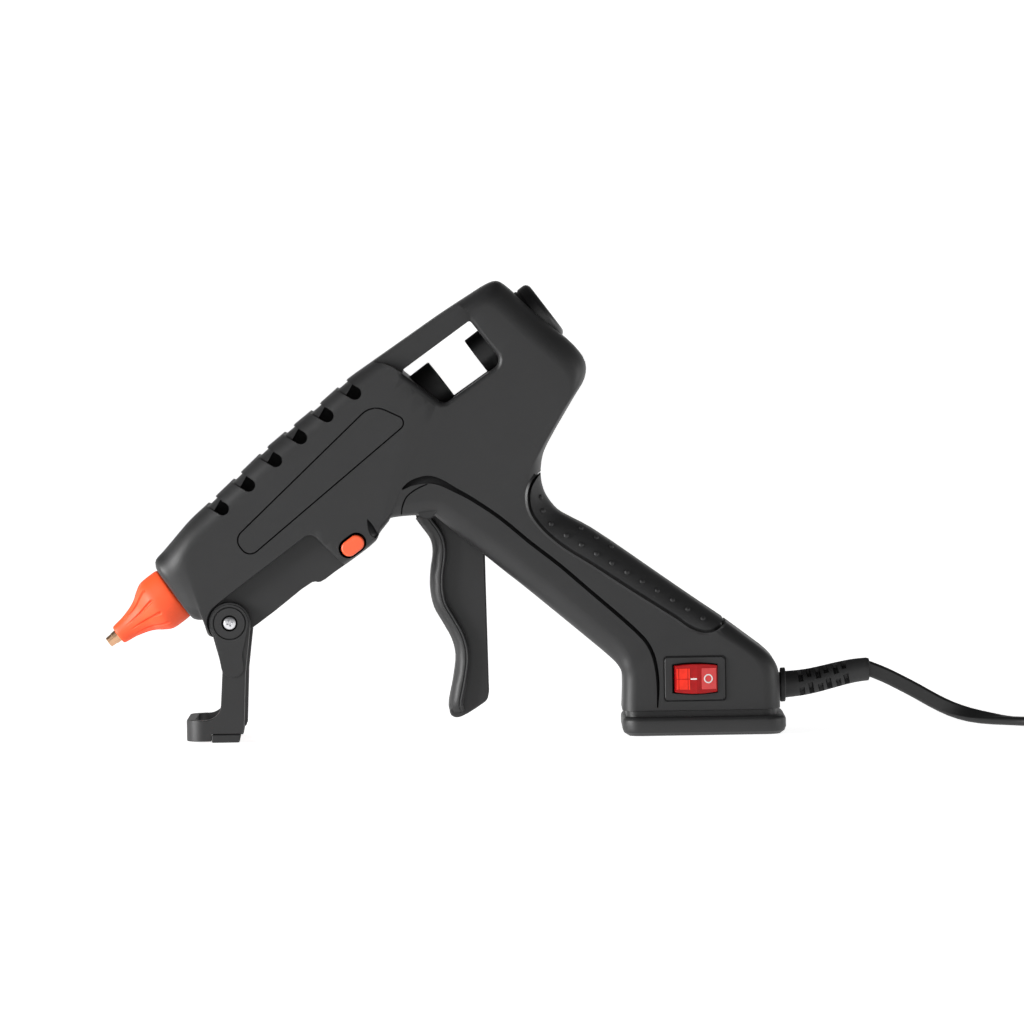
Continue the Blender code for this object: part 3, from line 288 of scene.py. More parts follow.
def curve_through(points, steps):
    """A smooth run through tuples of any length, with extra points between each two."""
    points = [tuple(p) for p in points]
    first = tuple(2 * p - q for p, q in zip(points[0], points[1]))
    last = tuple(2 * p - q for p, q in zip(points[-1], points[-2]))
    ends = [first, *points, last]
    fine = []
    for a, b, c, d in zip(ends, ends[1:], ends[2:], ends[3:]):
        s, t, u = (max(math.sqrt(math.dist(p, q)), 1e-3) for p, q in ((a, b), (b, c), (c, d)))
        for i in range(steps):
            k = i / steps
            point = []
            for p, q, r, v in zip(a, b, c, d):
                leave = r - q + t * ((q - p) / s - (r - p) / (s + t))
                reach = r - q + t * ((v - r) / u - (v - q) / (t + u))
                point.append(q + (r - q) * (3 * k**2 - 2 * k**3) + leave * (k**3 - 2 * k**2 + k)
                             + reach * (k**3 - k**2))
            fine.append(tuple(point))
    fine.append(points[-1])
    return fine


def runs_along(points, closed=False):
    """The unit direction of a line at each of its points, from the point before to the point after."""
    last = len(points) - 1
    runs = []
    for i in range(len(points)):
        after = points[(i + 1) % len(points)] if closed else points[min(i + 1, last)]
        before = points[i - 1] if closed else points[max(i - 1, 0)]
        runs.append((Vector(after) - Vector(before)).normalized())
    return runs


def left_of(run):
    return Vector((-run.y, run.x))


def bowed(half_wide, half_high, bow):
    """A rectangle whose top and bottom edges curve outwards."""
    top = [(half_wide * i / 8, half_high + bow * (1 - (i / 8) ** 2)) for i in range(8, -9, -1)]
    return top + [(-a, -b) for a, b in top]


# Meshes.


def linked(name, data):
    obj = bpy.data.objects.new(name, data)
    bpy.context.scene.collection.objects.link(obj)
    return obj


def new_object(name, vertices, faces, place=Matrix.Identity(4)):
    mesh = bpy.data.meshes.new(name)
    mesh.from_pydata([place @ Vector(v) * MM for v in vertices], [], faces)
    work = bmesh.new()
    work.from_mesh(mesh)
    bmesh.ops.recalc_face_normals(work, faces=work.faces)
    work.to_mesh(mesh)
    work.free()
    return linked(name, mesh)


def skin(rings, closed=False):
    """Faces between rings of equal count, closed into a loop or capped at both ends."""
    count = len(rings[0])
    vertices = [point for ring in rings for point in ring]
    faces = []
    for i in range(len(rings) if closed else len(rings) - 1):
        a, b = i * count, (i + 1) % len(rings) * count
        for j in range(count):
            k = (j + 1) % count
            faces.append((a + j, a + k, b + k, b + j))
    if not closed:
        faces.append(tuple(range(count)))
        faces.append(tuple(range((len(rings) - 1) * count, len(rings) * count)))
    return vertices, faces


def loft(name, rings):
    """A skin in triangles, because its faces twist."""
    obj = new_object(name, *skin(rings))
    work = bmesh.new()
    work.from_mesh(obj.data)
    bmesh.ops.triangulate(work, faces=work.faces)
    work.to_mesh(obj.data)
    work.free()
    return obj


def turned(name, profile, place, segments=64, bored=True):
    """A turned piece from (along, radius) points. A bored one's profile closes on itself."""
    rings = [[(a, b, along) for a, b in circle(radius, segments)] for along, radius in profile]
    return new_object(name, *skin(rings, bored), place)


def prism(name, outline, y_from, y_to):
    """A side-view outline given a thickness in Y."""
    return new_object(name, *skin([[(a, y, b) for a, b in outline] for y in (y_from, y_to)]))


def slab(name, outline, z_from, z_to):
    """A plan outline given a height."""
    return new_object(name, *skin([[(a, b, z) for a, b in outline] for z in (z_from, z_to)]))


def block(name, low, high):
    outline = [(low[0], low[1]), (high[0], low[1]), (high[0], high[1]), (low[0], high[1])]
    return slab(name, outline, low[2], high[2])


def pin(name, x, z, radius, y_from, y_to, segments=32):
    return turned(name, [(y_from, radius), (y_to, radius)], cross_frame(x, z), segments, bored=False)


def ball(name, centre, normal, radius, height, segments=10):
    """A low dome, sunk a little into the surface that it stands on."""
    up = normal.normalized()
    side = up.orthogonal().normalized()
    rings = []
    for share in (0.0, 0.35, 0.7, 0.92):
        out = radius * math.sqrt(1 - share**2)
        rise = height * share - (height if share == 0 else 0)
        rings.append([
            centre + up * rise + (side * math.cos(a) + up.cross(side) * math.sin(a)) * out
            for a in (2 * math.pi * i / segments for i in range(segments))
        ])
    return new_object(name, *skin(rings))


def bake(obj):
    """Makes the object's modifiers part of its mesh."""
    graph = bpy.context.evaluated_depsgraph_get()
    mesh = bpy.data.meshes.new_from_object(obj.evaluated_get(graph))
    obj.modifiers.clear()
    obj.data = mesh
    return obj


def removed(objects):
    for obj in objects:
        bpy.data.objects.remove(obj, do_unlink=True)


def boolean(obj, others, operation):
    """Booleans with a row of solids, which are then removed."""
    for other in others:
        modifier = obj.modifiers.new(operation, "BOOLEAN")
        modifier.operation = operation
        modifier.solver = "MANIFOLD"
        modifier.object = other
    bake(obj)
    removed(others)
    return obj


def cut(obj, others):
    return boolean(obj, others, "DIFFERENCE")


def fuse(obj, others):
    return boolean(obj, others, "UNION")


def shifted(place):
    """The same placing for a mesh that is already in metres."""
    moved = place.copy()
    moved.translation *= MM
    return moved


def joined(obj, *others):
    """Adds the other objects' meshes to the first one's."""
    work = bmesh.new()
    for piece in (obj, *others):
        work.from_mesh(piece.data)
    work.to_mesh(obj.data)
    work.free()
    removed(others)


def rounded_edges(obj, width, segments=2, limit=35):
    modifier = obj.modifiers.new("rounded edges", "BEVEL")
    modifier.width = width * MM
    modifier.segments = segments
    modifier.limit_method = "ANGLE"
    modifier.angle_limit = math.radians(limit)
    return bake(obj)


def smooth(obj, angle):
    obj.data.shade_smooth()
    obj.data.set_sharp_from_angle(angle=math.radians(angle))
    even = obj.modifiers.new("even normals", "WEIGHTED_NORMAL")
    even.keep_sharp = True
    even.weight = 60


def finished(obj, body, slot, *nodes, look=None, angle=32):
    """Gives a piece its finish, its body and the CAD nodes that it stands for."""
    obj.data.materials.clear()
    obj.data.materials.append(LOOKS[look or slot])
    smooth(obj, angle)
    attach(obj, body)
    if nodes:
        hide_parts(*nodes)
    return obj


# Materials.

PATCH = 14.0  # size of the broad patches of tone


def node(nodes, kind, **values):
    """A new shader node with values on its inputs. An underscore stands for a space in an input's name."""
    made = nodes.new(kind)
    for name, value in values.items():
        made.inputs[name.replace("_", " ")].default_value = value
    return made


def finish(name, colour, roughness, metallic=0.0, grain=0.7, bump=0.012, mottle=0.10, uneven=0.05,
           coat=0.0, gleam=0.5):
    """A surface with fine grain and slightly uneven colour and gloss. Grain and bump are in millimetres."""
    made = bpy.data.materials.new(name)
    made.use_nodes = True
    nodes, links = made.node_tree.nodes, made.node_tree.links
    shader = nodes["Principled BSDF"]
    shader.inputs["Metallic"].default_value = metallic
    shader.inputs["Coat Weight"].default_value = coat
    shader.inputs["Specular IOR Level"].default_value = gleam
    place = nodes.new("ShaderNodeTexCoord")
    fine = node(nodes, "ShaderNodeTexNoise", Scale=1 / (grain * MM), Detail=3.0)
    broad = node(nodes, "ShaderNodeTexNoise", Scale=1 / (PATCH * MM), Detail=4.0)
    both = node(nodes, "ShaderNodeMix", Factor=0.4)
    ramp = nodes.new("ShaderNodeValToRGB")
    ends = zip(ramp.color_ramp.elements, (0.3, 0.7), (1 - mottle, 1 + mottle))
    for element, position, tone in ends:
        element.position = position
        element.color = (*(min(c * tone, 1.0) for c in colour), 1.0)
    gloss = node(nodes, "ShaderNodeMapRange", To_Min=roughness - uneven, To_Max=roughness + uneven)
    relief = node(nodes, "ShaderNodeBump", Strength=1.0, Distance=bump * MM)
    for texture in (fine, broad):
        links.new(place.outputs["Object"], texture.inputs["Vector"])
    links.new(broad.outputs["Fac"], both.inputs["A"])
    links.new(fine.outputs["Fac"], both.inputs["B"])
    links.new(both.outputs["Result"], ramp.inputs["Fac"])
    links.new(both.outputs["Result"], gloss.inputs["Value"])
    links.new(fine.outputs["Fac"], relief.inputs["Height"])
    links.new(ramp.outputs["Color"], shader.inputs["Base Color"])
    links.new(gloss.outputs["Result"], shader.inputs["Roughness"])
    links.new(relief.outputs["Normal"], shader.inputs["Normal"])
    return made


LOOKS = {
    "shell_plastic": finish(
        "charcoal plastic", (0.012, 0.012, 0.0124), 0.50, grain=0.5, bump=0.010, mottle=0.12),
    "grip_rubber": finish(
        "grip rubber", (0.0105, 0.0105, 0.011), 0.58, grain=0.9, bump=0.02, mottle=0.15),
    "dark_plastic": finish("black plastic", (0.006, 0.006, 0.0065), 0.42, grain=0.6, bump=0.006),
    "orange_silicone": finish(
        "orange silicone", (0.92, 0.085, 0.015), 0.55, grain=1.0, bump=0.008, mottle=0.05),
    "brass": finish("turned brass", (0.66, 0.40, 0.24), 0.28, 1.0, grain=0.4, bump=0.004, mottle=0.12),
    "aluminium": finish("cast aluminium", (0.62, 0.62, 0.64), 0.45, 1.0, grain=0.8, bump=0.03, mottle=0.1),
    "zinc_steel": finish(
        "zinc-plated steel", (0.70, 0.70, 0.72), 0.30, 1.0, grain=0.5, bump=0.006, mottle=0.12),
    "ceramic": finish("white ceramic", (0.78, 0.76, 0.72), 0.55, grain=0.5, bump=0.01),
    "mica": finish("mica sheet", (0.55, 0.45, 0.30), 0.35, grain=1.6, bump=0.01, mottle=0.25, coat=0.3),
    "red_plastic": finish(
        "red switch plastic", (0.34, 0.004, 0.005), 0.16, grain=2.0, bump=0.001, mottle=0.2, uneven=0.03,
        gleam=0.2),
    "wire_sleeve": finish("wire sleeve", (0.30, 0.035, 0.02), 0.6, grain=0.5, bump=0.05, mottle=0.25),
    "cord_jacket": finish("cord jacket", (0.008, 0.008, 0.008), 0.38, grain=1.2, mottle=0.12),
    "bezel": finish("switch bezel", (0.011, 0.011, 0.0115), 0.45, grain=0.5, bump=0.004, mottle=0.08),
    # Painted lamp glow: a bright red base colour, with no emission, stands in for the lamp shining through
    # the rocker.
    "painted_lamp_glow": finish(
        "switch plastic with painted lamp glow", (0.80, 0.028, 0.012), 0.18, grain=2.0, bump=0.001, mottle=0.2, gleam=0.2),
    # Painted light: a paler red than the rocker's own red, laid over the rocker's right face.
    "pale_painted_light": finish(
        "switch plastic with pale painted light", (0.66, 0.050, 0.050), 0.18, grain=2.0, bump=0.001, mottle=0.12, gleam=0.4),
    "orange_plastic": finish(
        "orange plastic", (0.86, 0.11, 0.035), 0.35, grain=0.8, bump=0.004, mottle=0.05),
    "white_paint": finish("white paint", (0.80, 0.78, 0.76), 0.4, grain=0.6, bump=0.003, mottle=0.03),
}


# Body.


def offset(outline, by):
    """The outline with each point moved outwards along its own normal."""
    pairs = zip(outline[-1:] + outline, outline)
    area = sum(before[0] * here[1] - here[0] * before[1] for before, here in pairs)
    out = -by if area > 0 else by
    runs = runs_along(outline, closed=True)
    return [tuple(Vector(place) + left_of(run) * out) for place, run in zip(outline, runs)]


def half_ring(section, inset=0.0, steps=7, across=7):
    """(point, y) pairs round one half of a section, from its outer edge to its inner edge."""
    ox, oz, ix, iz, half, outer_round, inner_round = section
    outer, inner = flat(ox, oz), flat(ix, iz)
    way = (inner - outer).normalized()
    depth = (inner - outer).length
    ro, ri = max(outer_round - inset, 0.8), max(inner_round - inset, 0.8)
    half -= inset
    start, end = inset + ro, depth - inset - ri
    places = [(inset, 0.0)]
    places += arc((start, half - ro), ro, 180, 90, steps)
    places += [(start + (end - start) * i / across, half) for i in range(1, across)]
    places += arc((end, half - ri), ri, 90, 0, steps)
    places.append((depth - inset, 0.0))
    return [(outer + way * down, y) for down, y in places]


def fine_sections():
    return curve_through(SECTIONS, 3) + FOOT_FLANGE


def half_body(name, side):
    """One half of the body, solid, from the nose to the ground."""
    return loft(name, [
        [point + Vector((0, side * max(y, PARTING), 0)) for point, y in half_ring(section)]
        for section in fine_sections()
    ])


def whole_body(name, sections, inset, steps=1, across=1):
    """Both halves in one solid, shrunk by an inset."""
    rings = []
    for section in sections:
        half = half_ring(section, inset, steps, across)
        far = [point + Vector((0, y, 0)) for point, y in half]
        near = [point - Vector((0, y, 0)) for point, y in half[-2:0:-1]]
        rings.append(far + near)
    return loft(name, rings)


def hollow_sections():
    """The body's sections for its hollow, drawn in where the grip is let into the wall."""
    chosen = []
    for section in SECTIONS[FIRST_HOLLOW:]:
        ox, oz, ix, iz, half, outer_round, inner_round = section
        if GRIP_LOW < oz < GRIP_HIGH:
            across = (flat(ix, iz) - flat(ox, oz)).normalized() * GRIP_THICK
            ox, oz, half = ox + across.x, oz + across.z, half - GRIP_THICK
        chosen.append((ox, oz, ix, iz, half, outer_round, inner_round))
    return [*chosen, HOLLOW_FLOOR]


def recess_outline(clear):
    """The hollow in the body's side that the folded stand lies in, grown by a clearance."""
    x, z = STAND_PIVOT
    round_pivot = arc((x, z), 7.6 + clear, 235, 128, 16)
    corner = rounded([
        (-69.2 - clear * 0.6, 52.8 + clear * 0.8, 0), (-44.6 + clear * 0.3, 71.0 + clear, 3.0),
        (-30.0 + clear, 56.5 + clear, 0),
    ], 8)
    return round_pivot + corner + [(-30.0, 40.0), (-60.0, 25.0), (x - 2.0, 25.0)]


def opening(name, outline, side, bottom, surface, edge):
    """A cutter from a depth outwards whose edge opens into a round at the surface."""
    rings = [
        (bottom, 0.0), (surface - edge, 0.0), (surface - edge * 0.6, edge * 0.09),
        (surface - edge * 0.25, edge * 0.35), (surface, edge), (surface + 1.0, edge * 4), (40.0, edge * 4),
    ]
    return new_object(name, *skin([
        [(a, side * y, b) for a, b in offset(outline, grow)] for y, grow in rings
    ]))


def soft_opening(name, outline, side, surface, edge):
    """A cutter through the body whose edge opens into a wide round that follows the body's side."""
    rings = [[(a, side * -5.0, b) for a, b in outline]]
    for down, grow in ((-1.0, 0.0), (-0.6, 0.09), (-0.25, 0.35), (-0.08, 0.65), (0.02, 1.05), (0.5, 2.0)):
        rings.append([
            (a, side * (surface(*place) + down * edge), b)
            for place, (a, b) in zip(outline, offset(outline, grow * edge))
        ])
    return new_object(name, *skin(rings))


def stick_place(x, z):
    """A point's distance along the stick's axis, and its height above that axis."""
    return (flat(x, z) - TIP).dot(ALONG), (flat(x, z) - TIP).dot(ABOVE)


def stick_outline(places):
    return [(stick(along, above).x, stick(along, above).z) for along, above in places]


def leaning(along, above, places):
    """An outline round a vent's middle, turned so that it leans forwards as it rises."""
    turn = Matrix.Rotation(VENT_LEAN, 2)
    return stick_outline([tuple(Vector((along, above)) + turn @ Vector(place)) for place in places])


def vent_cutters(side):
    """Holes with round lower ends at the side, and shallow grooves that run from them over the top."""
    cutters, half = [], VENT_WIDTH / 2
    for i, (x, z) in enumerate(VENT_CENTRES):
        along, above = stick_place(x, z)
        low = arc((0, half - VENT_DROP), half, 180, 360, 10)
        hole = leaning(along, above, low + [(half, 1.5), (-half, 1.5)])
        cutters.append(prism(f"vent_{i}", hole, *span(side, 8.0, THROUGH)))
        over = leaning(along, above, [(-half, -1.0), (half, -1.0), (half, 8.0), (-half, 8.0)])
        cutters.append(prism(f"vent_groove_{i}", over, *span(side, -1.0, THROUGH)))
    core = whole_body("vent_core", fine_sections(), VENT_GROOVE, 7, 2)
    for over in cutters[1::2]:
        cut(over, [copy_of(core)])
    removed([core])
    return cutters


def keel(side):
    """The rib that the shell has inside, along the parting line under the vents."""
    first, last = (stick_place(*VENT_CENTRES[i]) for i in (0, -1))
    start, end, low, reach = first[0] - 4.0, last[0] + 4.0, 10.6, 2.6
    outline = stick_outline([(start, low), (end, low), (end, last[1] + reach), (start, first[1] + reach)])
    return prism("keel", outline, *span(side, 0.4, 1.8))


def groove(name, line, side, surface, closed=False):
    """A cutter, deepest at its upper side, along a line of x, z and width that lies on the body's side."""
    rings = []
    for (x, z, width), run in zip(line, runs_along([place[:2] for place in line], closed)):
        out = left_of(run) * width
        y = surface(x, z)
        depth = min(0.30 + 1.5 * width, 2.1)
        rings.append([
            (x + out.x * a, side * (y + b), z + out.y * a)
            for a, b in ((0.54, 0.4), (0.48, -depth), (-0.42, -depth * 0.45), (-0.52, 0.4))
        ])
    return new_object(name, *skin(rings, closed))


def surface_of(tree):
    """A function that gives the half width of the body at a place in the side view."""
    def half_width(x, z):
        hit = tree.ray_cast(Vector((x, CLEAR, z)) * MM, Vector((0, -1, 0)))[0]
        return hit.y / MM if hit else BARREL_HALF
    return half_width


def mesh_tree(obj):
    corners = [vertex.co.copy() for vertex in obj.data.vertices]
    return BVHTree.FromPolygons(corners, [tuple(face.vertices) for face in obj.data.polygons])


def groove_cutters(side, surface):
    panel = [(x, z, 0.5) for x, z in rounded(PANEL, 10)]
    made = [groove("panel_line", panel, side, surface, closed=True)]
    for name, line in (("handle_line", HANDLE_LINE), ("front_line", FRONT_LINE), ("crease", CREASE)):
        made.append(groove(name, curve_through(line, 3), side, surface))
    return made


def bore_cutters():
    runs = [  # from, to along the stick's axis, and radius
        (15.0, 33.0, 8.3), (32.0, 76.0, 10.6), (123.0, 150.0, 10.1), (150.0, 181.0, 8.4),
        (176.6, 205.0, 11.1),
    ]
    return [
        turned(f"bore_{i}", [(low, radius), (high, radius)], stick_frame(), 48, bored=False)
        for i, (low, high, radius) in enumerate(runs)
    ]


def trigger_slot():
    """The slot in the body that the trigger's strip and its web go into."""
    wide = [(-10.6, 70.0), (-10.6, 82.0), (8.0, 82.0), (12.5, 70.0), (12.5, 56.0)]
    narrow = [(0.0, 60.0), (0.0, 84.0), (22.0, 70.0), (41.0, 50.5), (36.0, 38.0)]
    return [prism("slot_wide", wide, -8.8, 8.8), prism("slot_narrow", narrow, -5.6, 5.6)]


def bosses(side):
    radius = 3.4 if side < 0 else 4.4
    made = [
        pin(f"boss_{i}", x, z, radius, *span(side, 0.5, reach), 20)
        for i, (x, z, reach) in enumerate(SCREWS)
    ]
    made.append(pin("trigger_boss", *TRIGGER_PIVOT, 3.8, *span(side, 9.2, 17.5)))
    made.append(pin("stand_boss", *STAND_PIVOT, 4.4, *span(side, 9.5, 16.0)))
    return made


def holes(side):
    """Holes for the pivots and the shell screws, whose heads sit in counterbores on the right side."""
    made = [
        pin("trigger_hole", *TRIGGER_PIVOT, 2.3, *span(side, 5.0, 14.6)),
        pin("stand_hole", *STAND_PIVOT, 1.65, *span(side, 8.0, THROUGH)),
    ]
    for i, (x, z, _) in enumerate(SCREWS):
        if side < 0:
            made.append(pin(f"hole_{i}", x, z, 1.75, -12.6, 1.0, 20))
        else:
            profile = [(-1.0, 1.75), (8.0, 1.75), (8.0, 3.0), (THROUGH, 3.0)]
            made.append(turned(f"hole_{i}", profile, cross_frame(x, z), 28, bored=False))
    return made


def grip_outline(grow):
    """The grip's edge in the side view, closed well outside the back of the handle."""
    edge = curve_through(GRIP_EDGE, 3)
    grown_edge = [tuple(Vector(place) - left_of(run) * grow) for place, run in zip(edge, runs_along(edge))]
    return grown_edge + GRIP_CLOSE


def copy_of(obj):
    twin = obj.copy()
    twin.data = obj.data.copy()
    bpy.context.scene.collection.objects.link(twin)
    return twin


def body_hollow():
    """The space inside the shells, less the walls round the window and behind the pockets."""
    hollow = whole_body("hollow", hollow_sections(), WALL)
    bar = rounded(grown([(*p, 0.0) for p in BAR], WALL), 1)
    walls = [prism("window_wall", rounded(grown(WINDOW, WALL), 3), -THROUGH, THROUGH)]
    for side in (-1, 1):
        walls.append(prism("recess_wall", recess_outline(WALL), *span(side, RECESS_HALF - WALL, THROUGH)))
        walls.append(prism("bar_wall", bar, *span(side, BAR_HALF - WALL, THROUGH)))
    return cut(hollow, walls)


def grip_pocket():
    """Room for the rubber grip, with a narrow channel round its edge."""
    pocket = prism("grip_pocket", grip_outline(0.9), -THROUGH, THROUGH)
    core = whole_body("grip_core", curve_through(SECTIONS, 3), GRIP_THICK + 0.2, 5, 5)
    return cut(pocket, [core])


def lip(side, surface):
    """A fine ridge on the shell along the grip's edge, sloping outwards and fading at both ends."""
    inner, outer = (grip_outline(by)[:-len(GRIP_CLOSE)] for by in (0.4, 1.7))
    rings = []
    for i, (near, far) in enumerate(zip(inner, outer)):
        high = 1.1 * min(1.0, i / 6, (len(inner) - 1 - i) / 6)
        y = surface(*far)
        rings.append([
            (a, side * (y + b), c) for (a, c), b in ((far, -0.6), (far, -0.02), (near, high), (near, -0.6))
        ])
    return new_object("lip", *skin(rings))


def shell(name, side, hollow, pocket, surface):
    """One half shell with its bosses, pockets, vents, lines and openings."""
    half = half_body(name, side)
    cut(half, [copy_of(hollow)])
    fuse(half, [*bosses(side), keel(side), lip(side, surface)])
    rearwards = Matrix.Translation((0, 0, 15.4)) @ Matrix.Rotation(math.pi / 2, 4, "Y")
    openings = [
        *holes(side), *vent_cutters(side), *bore_cutters(), *trigger_slot(), copy_of(pocket),
        soft_opening("window", rounded(WINDOW, 8), side, surface, 1.9),
        opening("recess", recess_outline(0.0), side, RECESS_HALF, BARREL_HALF + 0.03, 0.6),
        prism("bar", BAR, *span(side, BAR_HALF, THROUGH)),
        turned("relief_hole", [(104.0, 5.0), (130.0, 5.0)], rearwards, 32, bored=False),
    ]
    if side < 0:
        openings += [
            prism("button_hole", pill(*BUTTON_POCKET, 10.2, 6.9, CLIMB), -THROUGH, -7.0),
            block("switch_hole", (75.9, -THROUGH, 12.7), (94.4, -10.0, 25.7)),
            prism("bezel_pocket", bezel_outline(0.4, 1.2, 6), -THROUGH, 0.9 - BASE_HALF),
        ]
    cut(half, openings)
    cut(half, groove_cutters(side, surface))
    return finished(half, "body", "shell_plastic", name)


def dot_places():
    """The grip's dots in the side view: one row near its edge, then three rows above that."""
    edge = [Vector(p) for p in curve_through(DOT_START, 1)]
    run = DOT_END - edge[-1]
    steps = round(run.length / DOT_PITCH)
    edge += [edge[-1] + run * i / steps for i in range(1, steps + 1)]
    up = Vector((-run.y, run.x)).normalized()
    places = list(edge)
    for row in (1, 2, 3):
        shift = run.normalized() * (DOT_PITCH / 2 if row % 2 else 0.0)
        places += [p + up * DOT_ROW * row + shift for p in edge[2:-1]]
    return places


def grip():
    """The rubber grip, with rows of small dots where it faces sideways."""
    piece = prism("grip", grip_outline(-0.1), -THROUGH, THROUGH)
    fine = whole_body("grip_skin", curve_through(SECTIONS, 3), 0.0, 7, 7)
    tree = mesh_tree(fine)
    boolean(piece, [fine], "INTERSECT")
    cut(piece, [whole_body("grip_core", curve_through(SECTIONS, 3), GRIP_THICK, 5, 5)])
    rounded_edges(piece, 0.45, 2, 50)
    dots = []
    for side in (-1, 1):
        for place in dot_places():
            start = Vector((place.x, side * CLEAR, place.y)) * MM
            hit, normal = tree.ray_cast(start, Vector((0, -side, 0)))[:2]
            if hit and abs(normal.y) > DOT_TILT:
                dots.append(ball("dot", hit / MM, normal, DOT_RADIUS, DOT_HIGH))
    joined(piece, *dots)
    return finished(piece, "body", "grip_rubber", "rubber_grip")


# Nozzle and guides.


def grooved_sleeve():
    """The silicone sleeve, with shallow grooves that have round upper ends."""
    profile = curve_through([
        (4.2, 3.1), (4.6, 3.4), (9.0, 4.1), (13.2, 5.3), (15.6, 6.4), (18.0, 8.1), (20.6, 9.5), (24.0, 9.8),
        (27.8, 9.6), (28.3, 9.2),
    ], 8)
    inside = [(28.3, 6.0), (20.0, 6.0), (13.0, 3.7), (9.0, 2.8), (4.2, 2.7)]
    segments, grooves, deepest = 240, 12, 0.8
    rings = []
    for along, radius in profile:
        past = max(0.0, along - 20.4)
        width = 0.125 * math.sqrt(max(0.0, 1.0 - past**2))
        reach = min(max((along - 8.5) / 8.0, 0.0), 1.0)
        ring = []
        for j, (a, b) in enumerate(circle(1.0, segments)):
            share = (j / segments * grooves) % 1.0 - 0.5
            dip = max(0.0, 1.0 - (share / width) ** 2) if width > 0.01 else 0.0
            out = radius - deepest * reach * min(1.0, 1.8 * dip)
            ring.append((out * a, out * b, along))
        rings.append(ring)
    rings += [[(a, b, along) for a, b in circle(radius, segments)] for along, radius in inside]
    sleeve = new_object("sleeve", *skin(rings, closed=True), stick_frame())
    return finished(sleeve, "body", "orange_silicone", "nozzle_sleeve", angle=38)


def stick_tubes():
    """The nozzle, and the tubes that lead the stick in, by (along, radius) points."""
    for name, slot, cad_node, profile in (
        ("brass_nozzle", "brass", "nozzle", [
            (0.25, 0.9), (0.0, 1.15), (0.0, 1.65), (0.15, 1.8), (2.2, 1.95), (2.35, 2.1), (4.4, 2.2),
            (9.0, 2.4), (13.0, 3.2), (20.0, 5.6), (30.5, 5.6), (30.5, 4.5), (38.0, 4.5), (38.0, 2.0),
            (12.0, 2.0), (8.0, 0.9),
        ]),
        ("inlet", "grip_rubber", "inlet_sleeve", [
            (124.2, 6.4), (124.2, 9.0), (124.6, 9.4), (125.4, 9.8), (145.0, 9.8), (145.2, 9.6),
            (145.2, 7.6), (142.0, 6.4),
        ]),
        ("guide", "dark_plastic", "rear_guide", [
            (159.6, 6.9), (159.4, 7.2), (159.4, 7.9), (159.6, 8.1), (176.3, 8.1), (176.3, 6.4),
            (161.5, 6.4),
        ]),
        ("entry", "dark_plastic", "entry_ring", [
            (177.0, 6.6), (177.0, 10.8), (183.4, 10.8), (183.6, 10.45), (184.1, 10.45), (184.3, 10.8),
            (186.8, 10.8), (187.5, 10.55), (188.1, 10.0), (188.45, 9.2), (188.5, 8.6), (188.2, 7.7),
            (187.5, 7.0), (186.6, 6.6),
        ]),
    ):
        finished(turned(name, profile, stick_frame()), "body", slot, cad_node)


# Trigger, stand, button and switch.


def trigger_outline():
    front = [
        (-8.9, 78.6), *TRIGGER_EDGE[:-1], (1.7, 7.6), (3.2, 6.3), (5.5, 6.5), (12.2, 10.4), (14.4, 12.2),
        (15.1, 14.9),
    ]
    return curve_through(front, 3) + [(14.4, 61.8), (14.0, 72.0), (6.0, 80.5), (-1.0, 82.5)]


def finger_strip():
    """The wide strip down the front edge, round at the front, with a fine bead near its back edge."""
    spine = curve_through(TRIGGER_EDGE, 4)
    section = [  # distance behind the front, and half width
        (0.0, 0.0), (0.25, 3.4), (0.8, 5.6), (1.6, 7.0), (2.5, 7.6), (3.1, 7.7), (3.2, 7.5), (3.35, 7.5),
        (3.5, 8.05), (3.75, 8.15), (4.0, 8.05), (4.1, 7.6), (4.45, 7.2),
    ]
    proud, deeper = 0.4, 1.13
    rings = []
    for i, ((x, z), run) in enumerate(zip(spine, runs_along(spine))):
        back = left_of(run) * deeper
        narrow = min(1.0, 0.55 + 0.45 * math.sqrt(min(1.0, (len(spine) - 1 - i) / 5)))
        loop = [(d, y * narrow) for d, y in section] + [(d, -y * narrow) for d, y in reversed(section[1:])]
        rings.append([(x - proud + back.x * d, y, z + back.y * d) for d, y in loop])
    return loft("finger_strip", rings)


def trigger():
    x, z = TRIGGER_PIVOT
    web = rounded_edges(prism("trigger_piece", trigger_outline(), -4.8, 4.8), 0.7, 3, 60)
    hub = pin("trigger_hub", x, z, 4.6, -8.2, 8.2, 40)
    angle = CLIMB + math.pi / 2 - math.radians(14)
    reach = Vector((math.cos(angle), math.sin(angle))) * 18.0
    middle, end = Vector((x, z)) + reach / 2, Vector((x, z)) + reach
    arm = prism("trigger_arm", pill(middle.x, middle.y, 24.4, 6.4, angle), -2.4, 2.4)
    fuse(web, [finger_strip(), hub, arm])
    bores = [pin("bore", x, z, 2.3, -12, 12), pin("arm_hole", end.x, end.y, 1.6, -12, 12)]
    cut(web, bores)
    return finished(web, "trigger", "shell_plastic", "trigger")


def arm_outline():
    x, z = STAND_PIVOT
    top = arc((x, z), 7.1, 215, -8, 36)
    fillet = arc((-81.6, 13.2), 5.6, 270, 355, 10)
    return top + [(-67.5, 23.4), (-68.3, 4.6), (-68.9, 2.9), (-79.4, 2.9), *fillet, (-75.3, 24.8)]


def band_outline(back, front, half, radius):
    """The stand's band in plan, with round front corners."""
    return rounded([(back, -half, 0), (back, half, 0), (front, half, radius), (front, -half, radius)], 12)


